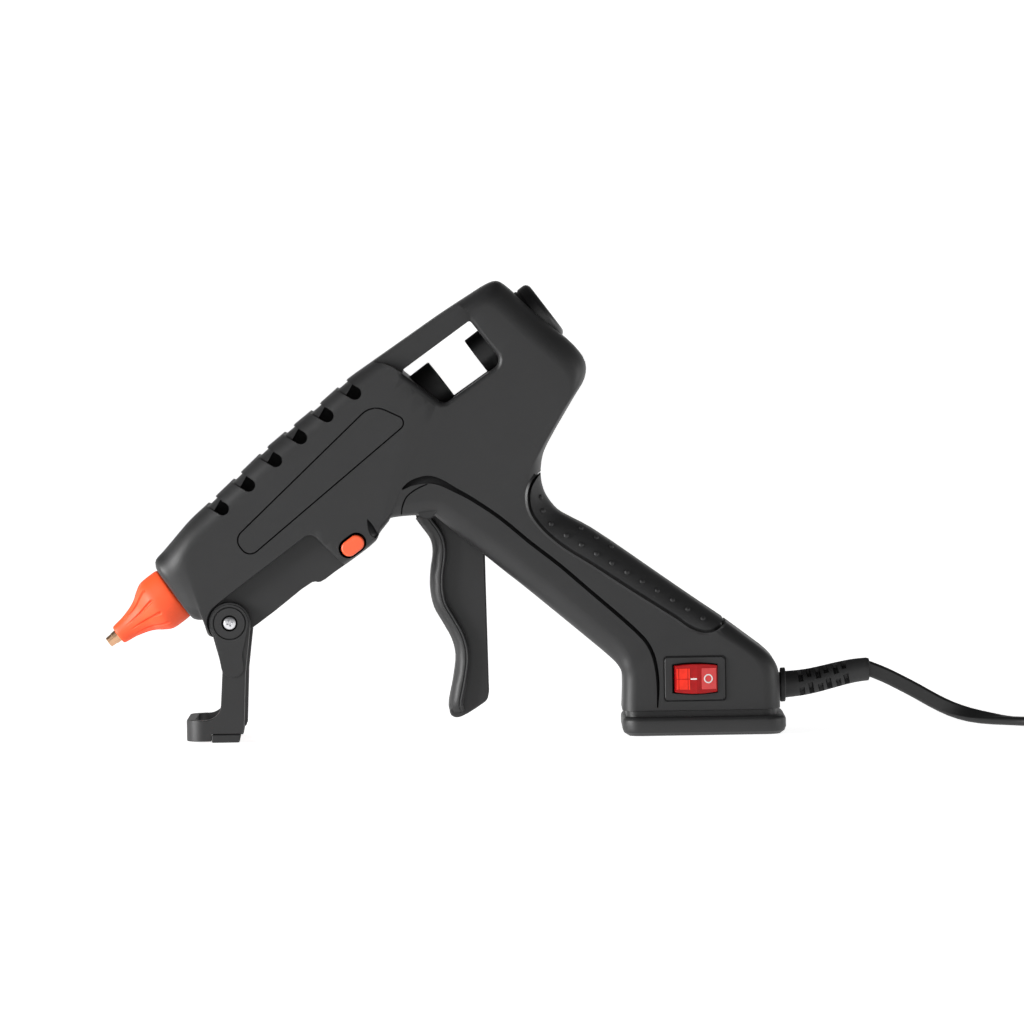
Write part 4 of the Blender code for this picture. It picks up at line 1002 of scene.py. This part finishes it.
def stand():
    """Two arms with raised upper plates, joined in front of the feet by a bent band."""
    x, z = STAND_PIVOT
    body, far_arm = (
        rounded_edges(prism(name, arm_outline(), *span(side, ARM_INSIDE, ARM_OUTSIDE)), 0.4, 2, 50)
        for name, side in (("stand_piece", -1), ("far_arm", 1))
    )
    band = slab("band", band_outline(-76.0, LOOP_FRONT, ARM_OUTSIDE, 6.0), 0.4, 7.6)
    hole = slab("band_hole", band_outline(-60.0, LOOP_FRONT + 3.0, ARM_INSIDE, 3.4), -5.0, 20.0)
    cut(band, [hole])
    pads, extras, cuts = [], [band, far_arm], []
    plate = arc((x, z), 6.4, 218, -12, 30) + [(-68.4, 30.0)] + arc((-71.8, 26.0), 3.9, -10, -170, 12)
    ring = [(19.6, 5.25), (19.6, 5.6), (24.0, 5.8), (24.0, 5.05)]
    for side in (-1, 1):
        low, high = span(side, ARM_INSIDE - 4, ARM_OUTSIDE + 4)
        pads.append(block("pad_room", (-79.4, low, -3.0), (-60.0, high, 2.9)))
        extras.append(pin("arm_boss", x, z, 5.2, *span(side, ARM_OUTSIDE - 1.0, ARM_BOSS), 48))
        raised = prism("raised_plate", plate, *span(side, ARM_OUTSIDE - 0.5, ARM_OUTSIDE + 0.5))
        extras.append(rounded_edges(raised, 0.2, 2, 50))
        cuts.append(pin("arm_hole", x, z, 2.75, *span(side, 14.0, 24.0), 40))
        cuts.append(turned("ring_groove", ring, cross_frame(x, z, side), 56))
    cut(band, pads)
    rounded_edges(band, 0.35, 2, 50)
    fuse(body, extras)
    cut(body, cuts)
    return finished(body, "stand", "shell_plastic", "stand")


def stand_screws():
    """Pan-head screws with a cross recess in each end of the stand's pivot."""
    profile = [(9.0, 1.3), (19.2, 1.3), (19.2, 2.35), (19.9, 2.35), (20.3, 2.1), (20.55, 1.5), (20.65, 0.7)]
    blade = [(-1, -0.26), (1, -0.26), (1, 0.26), (-1, 0.26)]
    flared = [[(a * wide, b, z) for a, b in blade] for z, wide in ((19.8, 0.6), (21.0, 1.45))]
    for mark, side in (("left", -1), ("right", 1)):
        place = cross_frame(*STAND_PIVOT, side)
        head = turned(f"pivot_screw_{mark}", profile, place, 40, bored=False)
        cross = [
            new_object("cross", *skin(flared), place @ Matrix.Rotation(math.radians(angle), 4, "Z"))
            for angle in (20, 110)
        ]
        cut(head, cross)
        finished(head, "body", "zinc_steel", f"stand_screw_{mark}")


def foot_pads():
    outline = [(-79.35, 0.0), (-69.9, 0.0), (-69.3, PAD_HIGH), (-79.35, PAD_HIGH)]
    for mark, side in (("left", -1), ("right", 1)):
        pad = prism(f"pad_{mark}", outline, *span(side, ARM_INSIDE + 0.1, ARM_OUTSIDE + 0.3))
        finished(rounded_edges(pad, 0.45, 3), "stand", "grip_rubber", f"foot_pad_{mark}")


def release_button():
    button = prism("button", pill(*BUTTON, 8.4, 5.4, CLIMB, 16), -21.2, -14.0)
    rounded_edges(button, 0.7, 4, 60)
    return finished(button, "button", "orange_silicone", "release_button", look="orange_plastic")


def bezel_outline(grow, radius, steps):
    left, right, low, high = 74.9 - grow, 95.4 + grow, 11.8 - grow, 26.6 + grow
    corners = [(left, low), (right, low), (right, high), (left, high)]
    return rounded([(*corner, radius) for corner in corners], steps)


def switch():
    """The rocker in its bezel, with tiles of painted lamp glow, a pane of pale painted light and white on
    and off marks.
    """
    x, z = SWITCH
    face = -BASE_HALF
    housing = rounded_edges(prism("bezel", bezel_outline(0.0, 1.4, 6), face - 0.9, face + 0.7), 0.35, 3, 60)
    fuse(housing, [block("housing_body", (76.3, face - 0.9, 13.1), (94.0, face + 13.0, 25.3))])
    well = [(x + a, z + c) for a, c in bowed(7.75, 4.9, 0.6)]
    cut(housing, [prism("well", well, face - 6.0, face + 9.0)])
    finished(housing, "body", "dark_plastic", "switch_housing", look="bezel")
    end, crown, shoulder = 7.2, 4.9, 3.9  # half length, then the height in the middle and at the ends
    place = Matrix.Translation((x, face + 1.5, z)) @ Matrix.Rotation(math.radians(7), 4, "Z")
    profile = [
        (-end, -shoulder), (0.0, -crown), (end, -shoulder), (end, -0.4), (3.0, 1.6), (-3.0, 1.6),
        (-end, -0.4),
    ]
    rocker = new_object("rocker_cap", *skin([[(a, b, c) for a, b in profile] for c in (-6.0, 6.0)]), place)
    bow = [[(a, b, c) for a, c in bowed(end, 4.5, 0.55)] for b in (-6.0, 3.0)]
    boolean(rocker, [new_object("bow", *skin(bow), place)], "INTERSECT")
    rounded_edges(rocker, 0.25, 2, 50)
    finished(rocker, "rocker", "red_plastic", "rocker")
    slope = math.atan((crown - shoulder) / end)
    top = place @ Matrix.Translation((0, -crown, 0))
    left, right = (top @ Matrix.Rotation(turn, 4, "Z") for turn in (-slope, slope))
    # Tiles of painted lamp glow on the left face, a pane of pale painted light on the right face, and the
    # printed on mark.
    marks = [
        (f"painted_glow_tile_{i}_{j}", left, (start, -0.14, low), (stop, 0.2, high), 0.06, "painted_lamp_glow")
        for i, (start, stop) in enumerate(((-6.9, -6.2), (-6.0, -3.1), (-2.9, -2.3)))
        for j, (low, high) in enumerate(((-3.6, -0.1), (0.1, 3.6)))
    ]
    # The off pane is painted light, a paler red over the right face.
    marks.append(("off_pane", right, (1.7, -0.12, -3.6), (6.8, 0.2, 3.6), 0.08, "pale_painted_light"))
    marks.append(("on_mark", left, (-2.1, -0.06, -0.22), (0.0, 0.1, 0.22), 0.0, "white_paint"))
    for name, surface, low, high, edge, look in marks:
        mark = block(name, low, high)
        mark.data.transform(shifted(surface))
        if edge:
            rounded_edges(mark, edge, 2, 50)
        finished(mark, "rocker", "red_plastic", look=look)
    upright = right @ Matrix.Translation((4.0, -0.12, 0)) @ Matrix.Rotation(math.pi / 2, 4, "X")
    ring = turned("off_mark", [(-0.03, 1.15), (-0.03, 1.55), (0.1, 1.55), (0.1, 1.15)], upright, 40)
    finished(ring, "rocker", "red_plastic", look="white_paint")


# Camera, floor and lights.


def camera():
    distance, width = 2500.0, 350.2
    farthest = 100.0  # in metres
    rise, roll = math.radians(2.5), math.radians(-0.92)
    middle = Vector((23.9, 0.0, 76.0))
    data = bpy.data.cameras.new("camera")
    data.lens = data.sensor_width * distance / width
    data.clip_end = farthest
    place = middle + Vector((0.0, -math.cos(rise), math.sin(rise))) * distance
    turn = Matrix.Rotation(math.pi / 2 - rise, 4, "X") @ Matrix.Rotation(roll, 4, "Z")
    obj = linked("camera", data)
    obj.matrix_world = Matrix.Translation(place * MM) @ turn
    bpy.context.scene.camera = obj


def area_light(name, place, aim, size, power):
    """A square softbox. Places and sizes are in metres."""
    data = bpy.data.lights.new(name, "AREA")
    data.shape = "SQUARE"
    data.size = size
    data.energy = power
    obj = linked(name, data)
    obj.location = place
    obj.rotation_euler = (Vector(aim) - Vector(place)).to_track_quat("-Z", "Y").to_euler()


def smooth_step(nodes, start, end, low, high):
    made = node(nodes, "ShaderNodeMapRange", From_Min=start, From_Max=end, To_Min=low, To_Max=high)
    made.interpolation_type = "SMOOTHSTEP"
    return made


def studio():
    """A pale floor that runs to the horizon, a bright surround and a darker ceiling."""
    near, far, low = -4000, 6000, -0.2
    corners = [(near, near, low), (-near, near, low), (-near, far, low), (near, far, low)]
    floor = new_object("floor", corners, [(0, 1, 2, 3)])
    pale = finish("floor", (0.86, 0.86, 0.86), 0.7, grain=3.0, bump=0.001, mottle=0.01)
    shader = pale.node_tree.nodes["Principled BSDF"]
    shader.inputs["Emission Color"].default_value = (1.0, 1.0, 1.0, 1.0)
    shader.inputs["Emission Strength"].default_value = 0.85
    floor.data.materials.append(pale)
    world = bpy.data.worlds.new("studio")
    world.use_nodes = True
    bpy.context.scene.world = world
    nodes, links = world.node_tree.nodes, world.node_tree.links
    place = nodes.new("ShaderNodeTexCoord")
    parts = nodes.new("ShaderNodeSeparateXYZ")
    upwards = smooth_step(nodes, 0.02, 0.55, 1.0, 0.10)
    rearwards = smooth_step(nodes, -0.9, 0.3, 0.66, 1.15)
    both = nodes.new("ShaderNodeMath")
    both.operation = "MULTIPLY"
    links.new(place.outputs["Generated"], parts.inputs["Vector"])
    for i, (axis, step) in enumerate((("Z", upwards), ("Y", rearwards))):
        links.new(parts.outputs[axis], step.inputs["Value"])
        links.new(step.outputs["Result"], both.inputs[i])
    links.new(both.outputs["Value"], nodes["Background"].inputs["Strength"])
    nodes["Background"].inputs["Color"].default_value = (1.0, 1.0, 1.0, 1.0)
    area_light("left softbox", (-1.7, -0.75, 0.3), (-0.02, 0.0, 0.07), 0.8, 52.0)
    area_light("right softbox", (1.5, -0.2, 0.1), (0.03, 0.0, 0.09), 0.6, 5.0)
    bpy.context.scene.view_settings.view_transform = "Standard"


# Cord.


def flat_section(wide, thick, steps=7):
    """Two round conductors side by side, with a groove between them on both faces."""
    radius, reach = thick / 2, (wide - thick) / 2
    waist = 0.45
    points = []
    for end in (1, -1):
        for i in range(steps + 1):
            turn = math.radians(-65 + 130 * i / steps) + (0 if end > 0 else math.pi)
            points.append((end * reach + radius * math.cos(turn), radius * math.sin(turn)))
        points.append((0.0, end * (radius - waist)))
    return points


def sweep(name, path, section, wides):
    """A section carried along a path. Its wide way follows the given directions."""
    rings = []
    for point, run, way in zip(path, runs_along(path), wides):
        wide = (way - run * way.dot(run)).normalized()
        thick = run.cross(wide)
        rings.append([point + wide * a + thick * b for a, b in section])
    return new_object(name, *skin(rings))


def cord_path():
    """The cord's middle line.

    It passes under the coil, winds outwards, steps up, winds inwards, and comes back out to the plug.
    """
    path = [Vector(p) for p in curve_through(CORD_ROUTE, 2)]
    low, high = COIL_LOW + OFF_FLOOR + CORD_WIDE / 2, COIL_HIGH - CORD_WIDE / 2
    near, far = COIL_INNER + STEADY_TURN, COIL_OUTER - STEADY_TURN
    runs = [  # from angle, to angle in degrees, then radius and height at both ends
        (-90, 1430, near, far, low, low),
        (1430, 1490, far, far, low, high),
        (1490, 2930, far, near, high, high),
        (2930, 3010, near, near + 3.0, high, high + 2.6),
        (3010, 3235, near + 3.0, 33.5, high + 2.6, 14.9),
    ]
    for start, end, from_r, to_r, from_z, to_z in runs:
        count = max(2, round((end - start) / 11))
        for i in range(1, count + 1):
            share = i / count
            turn = math.radians(start + (end - start) * share)
            radius = from_r + (to_r - from_r) * share
            away = abs(turn % (2 * math.pi) - math.radians(UNDER_ANGLE)) * 1.6
            lift = UNDER_LIFT * max(0.0, math.cos(min(away, math.pi / 2)))
            ease = share * share * (3 - 2 * share)
            rise = from_z + (to_z - from_z) * ease + lift
            path.append(COIL_CENTRE + Vector((radius * math.cos(turn), radius * math.sin(turn), rise)))
    for turn, z in ((8, 15.2), (22, 15.8), (36, 16.7), (52, 17.9), (68, 18.9), (80, 19.3), (90, 19.35)):
        turn = math.radians(turn)
        path.append(Vector((PLUG.x + 17.3 + CORD_BEND * math.cos(turn),
                            PLUG.y - CORD_BEND * (1 - math.sin(turn)), z)))
    path.append(Vector((PLUG.x + 16.0, PLUG.y, 19.35)))
    return path


def wide_ways(path):
    """The cord stands on its edge in the coil and as it leaves the gun, and lies flat along the floor."""
    ways = []
    for point in path:
        flatness = min(max((point.x - LIE_FROM) / LIE_OVER, 0.0), 1.0)
        crossing = (point - COIL_CENTRE).xy.length < COIL_INNER + 4.0 and point.y < -15.0
        if crossing and point.z < COIL_FOOT:
            flatness = min(max(1.0 - (point.x - CROSSING) / CROSSING_OVER, 0.0), 1.0)
        elif point.z > COIL_FOOT and point.x > COIL_FRONT:
            flatness = 0.0
        turn = flatness * math.pi / 2
        ways.append(Vector((0, 0, 1)) * math.cos(turn) + Vector((0, 1, 0)) * math.sin(turn))
    return ways


def cord():
    path = cord_path()
    flex = sweep("cord", path, flat_section(CORD_WIDE, CORD_THICK), wide_ways(path))
    finished(flex, "body", "cord_jacket", "cord_tube", "cord_coil", "cord_end", angle=50)
    return flex, path


def strain_relief():
    """A soft sleeve with a collar on the rear wall, slotted in staggered rings so that it bends."""
    spine = curve_through([
        (116.5, 15.5), (121.0, 15.9), (125.0, 16.5), (130.0, 17.6), (135.0, 18.8), (140.0, 19.8),
        (144.6, 20.3),
    ], 14)
    collar = [
        (109.8, 15.4, 4.3), (114.7, 15.4, 4.3), (114.7, 15.4, 5.6), (114.95, 15.4, 5.85),
        (116.2, 15.45, 5.85), (116.45, 15.5, 5.6), (116.5, 15.5, 4.6),
    ]
    mouth = [(0.5, 3.7), (0.7, 3.2), (0.7, 2.7), (-2.0, 2.6)]
    segments, slots, slot_start, pitch, slot_wide, slot_deep = 96, 6, 4.6, 3.1, 1.5, 1.7
    rings = [[(x, b, z + a) for a, b in circle(radius, segments)] for x, z, radius in collar]
    travelled = 0.0
    for before, (x, z), run in zip(spine, spine[1:], runs_along(spine)[1:]):
        travelled += math.dist(before, (x, z))
        full = 4.55 - 0.6 * travelled / 28.5
        place = (travelled - slot_start) / pitch
        slot = math.floor(place)
        slotted = 0 <= slot < slots and (place - slot) * pitch < slot_wide
        stagger = 7 * (-1) ** slot
        ring = []
        for j, (a, b) in enumerate(circle(1.0, segments)):
            open_here = slotted and 16 < (360 * j / segments + stagger) % 90 < 76
            radius = full - slot_deep if open_here else full
            ring.append((x - radius * a * run.y, radius * b, z + radius * a * run.x))
        rings.append(ring)
    x, z = spine[-1]
    rings += [[(x + out, b, z + a) for a, b in circle(radius, segments)] for out, radius in mouth]
    return finished(new_object("relief", *skin(rings)), "body", "grip_rubber", "strain_relief", angle=35)


def coil_tie():
    """A rubber strap round the coil's bundle."""
    outer, inner = COIL_CENTRE.x - COIL_OUTER, COIL_CENTRE.x - COIL_INNER
    middle = (COIL_HIGH + COIL_LOW) / 2
    y, half_wide, corner, thin, thick = COIL_CENTRE.y + 6.0, 3.0, 1.4, 0.55, 1.15
    rings = []
    for grow, ways in ((thick, (-1, 1)), (thin, (1, -1))):
        far, near = outer + TIE_SLACK - grow, inner + TIE_ROOM + grow
        low, high = middle - 5.45 - grow, middle + 5.8 + grow
        corners = ((far, low), (near, low), (near, high), (far, high))
        outline = rounded([(*place, corner) for place in corners])
        rings += [[(a, y + way * half_wide, b) for a, b in outline] for way in ways]
    tie = rounded_edges(new_object("strap", *skin(rings, closed=True)), 0.2)
    return finished(tie, "body", "grip_rubber", "coil_tie")


def plug():
    """A flat two-pin plug with finger grooves, lying on the coil."""
    x, y = PLUG.x, PLUG.y
    front, rear, step, half, tail = x - 17.5, x + 17.0, x + 8.0, 13.0, 6.0
    outline = rounded([
        (rear, y - tail, 2.5), (rear, y + tail, 2.5), (step, y + half, 5.0), (front, y + half, 3.0),
        (front, y - half, 3.0), (step, y - half, 5.0),
    ], 6)
    middle = sum((Vector(p) for p in outline), Vector((0, 0))) / len(outline)
    shares = [  # of the full outline, with the height above the plug's low side
        (0.86, 0.0), (0.95, 0.5), (0.99, 1.6), (1.0, 3.4), (1.0, 10.1), (0.99, 11.9), (0.95, 13.0),
        (0.86, 13.5),
    ]
    rings = []
    for share, z in shares:
        edge = [middle + (Vector(place) - middle) * share for place in outline]
        rings.append([(a, b, PLUG_LOW + z) for a, b in edge])
    body = new_object("plug", *skin(rings))
    finger_grooves = []
    for i in range(4):
        start = x - 6.0 + 3.0 * i
        for side in (-1, 1):
            low, high = y + side * 12.9 - 0.6, y + side * 13.0 + 0.6
            finger_grooves.append(block("finger_groove", (start, low, PLUG_LOW + 3.0),
                                        (start + 1.0, high, PLUG_LOW + 10.5)))
    cut(body, finger_grooves)
    pieces = [finished(body, "body", "cord_jacket", "plug_body", angle=40)]
    sleeve_profile = [(-0.5, 1.9), (9.5, 1.9), (9.6, 1.75)]
    pin_profile = [(0.5, 1.7), (18.0, 1.99), (18.9, 1.7), (19.3, 0.9)]
    for mark, side in (("1", -1), ("2", 1)):
        place = Matrix.Translation((front, y + side * 9.3, PLUG_LOW + 6.75))
        place = place @ Matrix.Rotation(-math.pi / 2, 4, "Y")
        sleeve = turned(f"pin_sleeve_{mark}", sleeve_profile, place, 32, bored=False)
        metal = turned(f"plug_contact_{mark}", pin_profile, place, 32, bored=False)
        pieces.append(finished(sleeve, "body", "cord_jacket", look="dark_plastic"))
        pieces.append(finished(metal, "body", "zinc_steel", f"plug_pin_{mark}"))
    return pieces


def declare_cord():
    flex, path = cord()
    pieces = [strain_relief(), coil_tie(), *plug()]


def carried_over():
    """Gives the CAD nodes whose shape is already right the finish of their slot."""
    for part in frame["record"]["subparts"]:
        piece = frame["nodes"][part["node"]]
        if not piece.hide_render:
            piece.data.materials.clear()
            piece.data.materials.append(LOOKS[part["material_slot"]])
            piece.data.shade_smooth()
            piece.data.set_sharp_from_angle(angle=math.radians(40))


def main():
    camera()
    studio()
    declare_cord()
    plain = whole_body("plain_body", fine_sections(), 0.0, 7, 7)
    surface = surface_of(mesh_tree(plain))
    hollow, pocket = body_hollow(), grip_pocket()
    shell("left_shell", -1, hollow, pocket, surface)
    shell("right_shell", 1, hollow, pocket, surface)
    removed([plain, hollow, pocket])
    for build in (grip, grooved_sleeve, stick_tubes, trigger, stand, stand_screws, foot_pads,
                  release_button, switch, carried_over):
        build()


main()
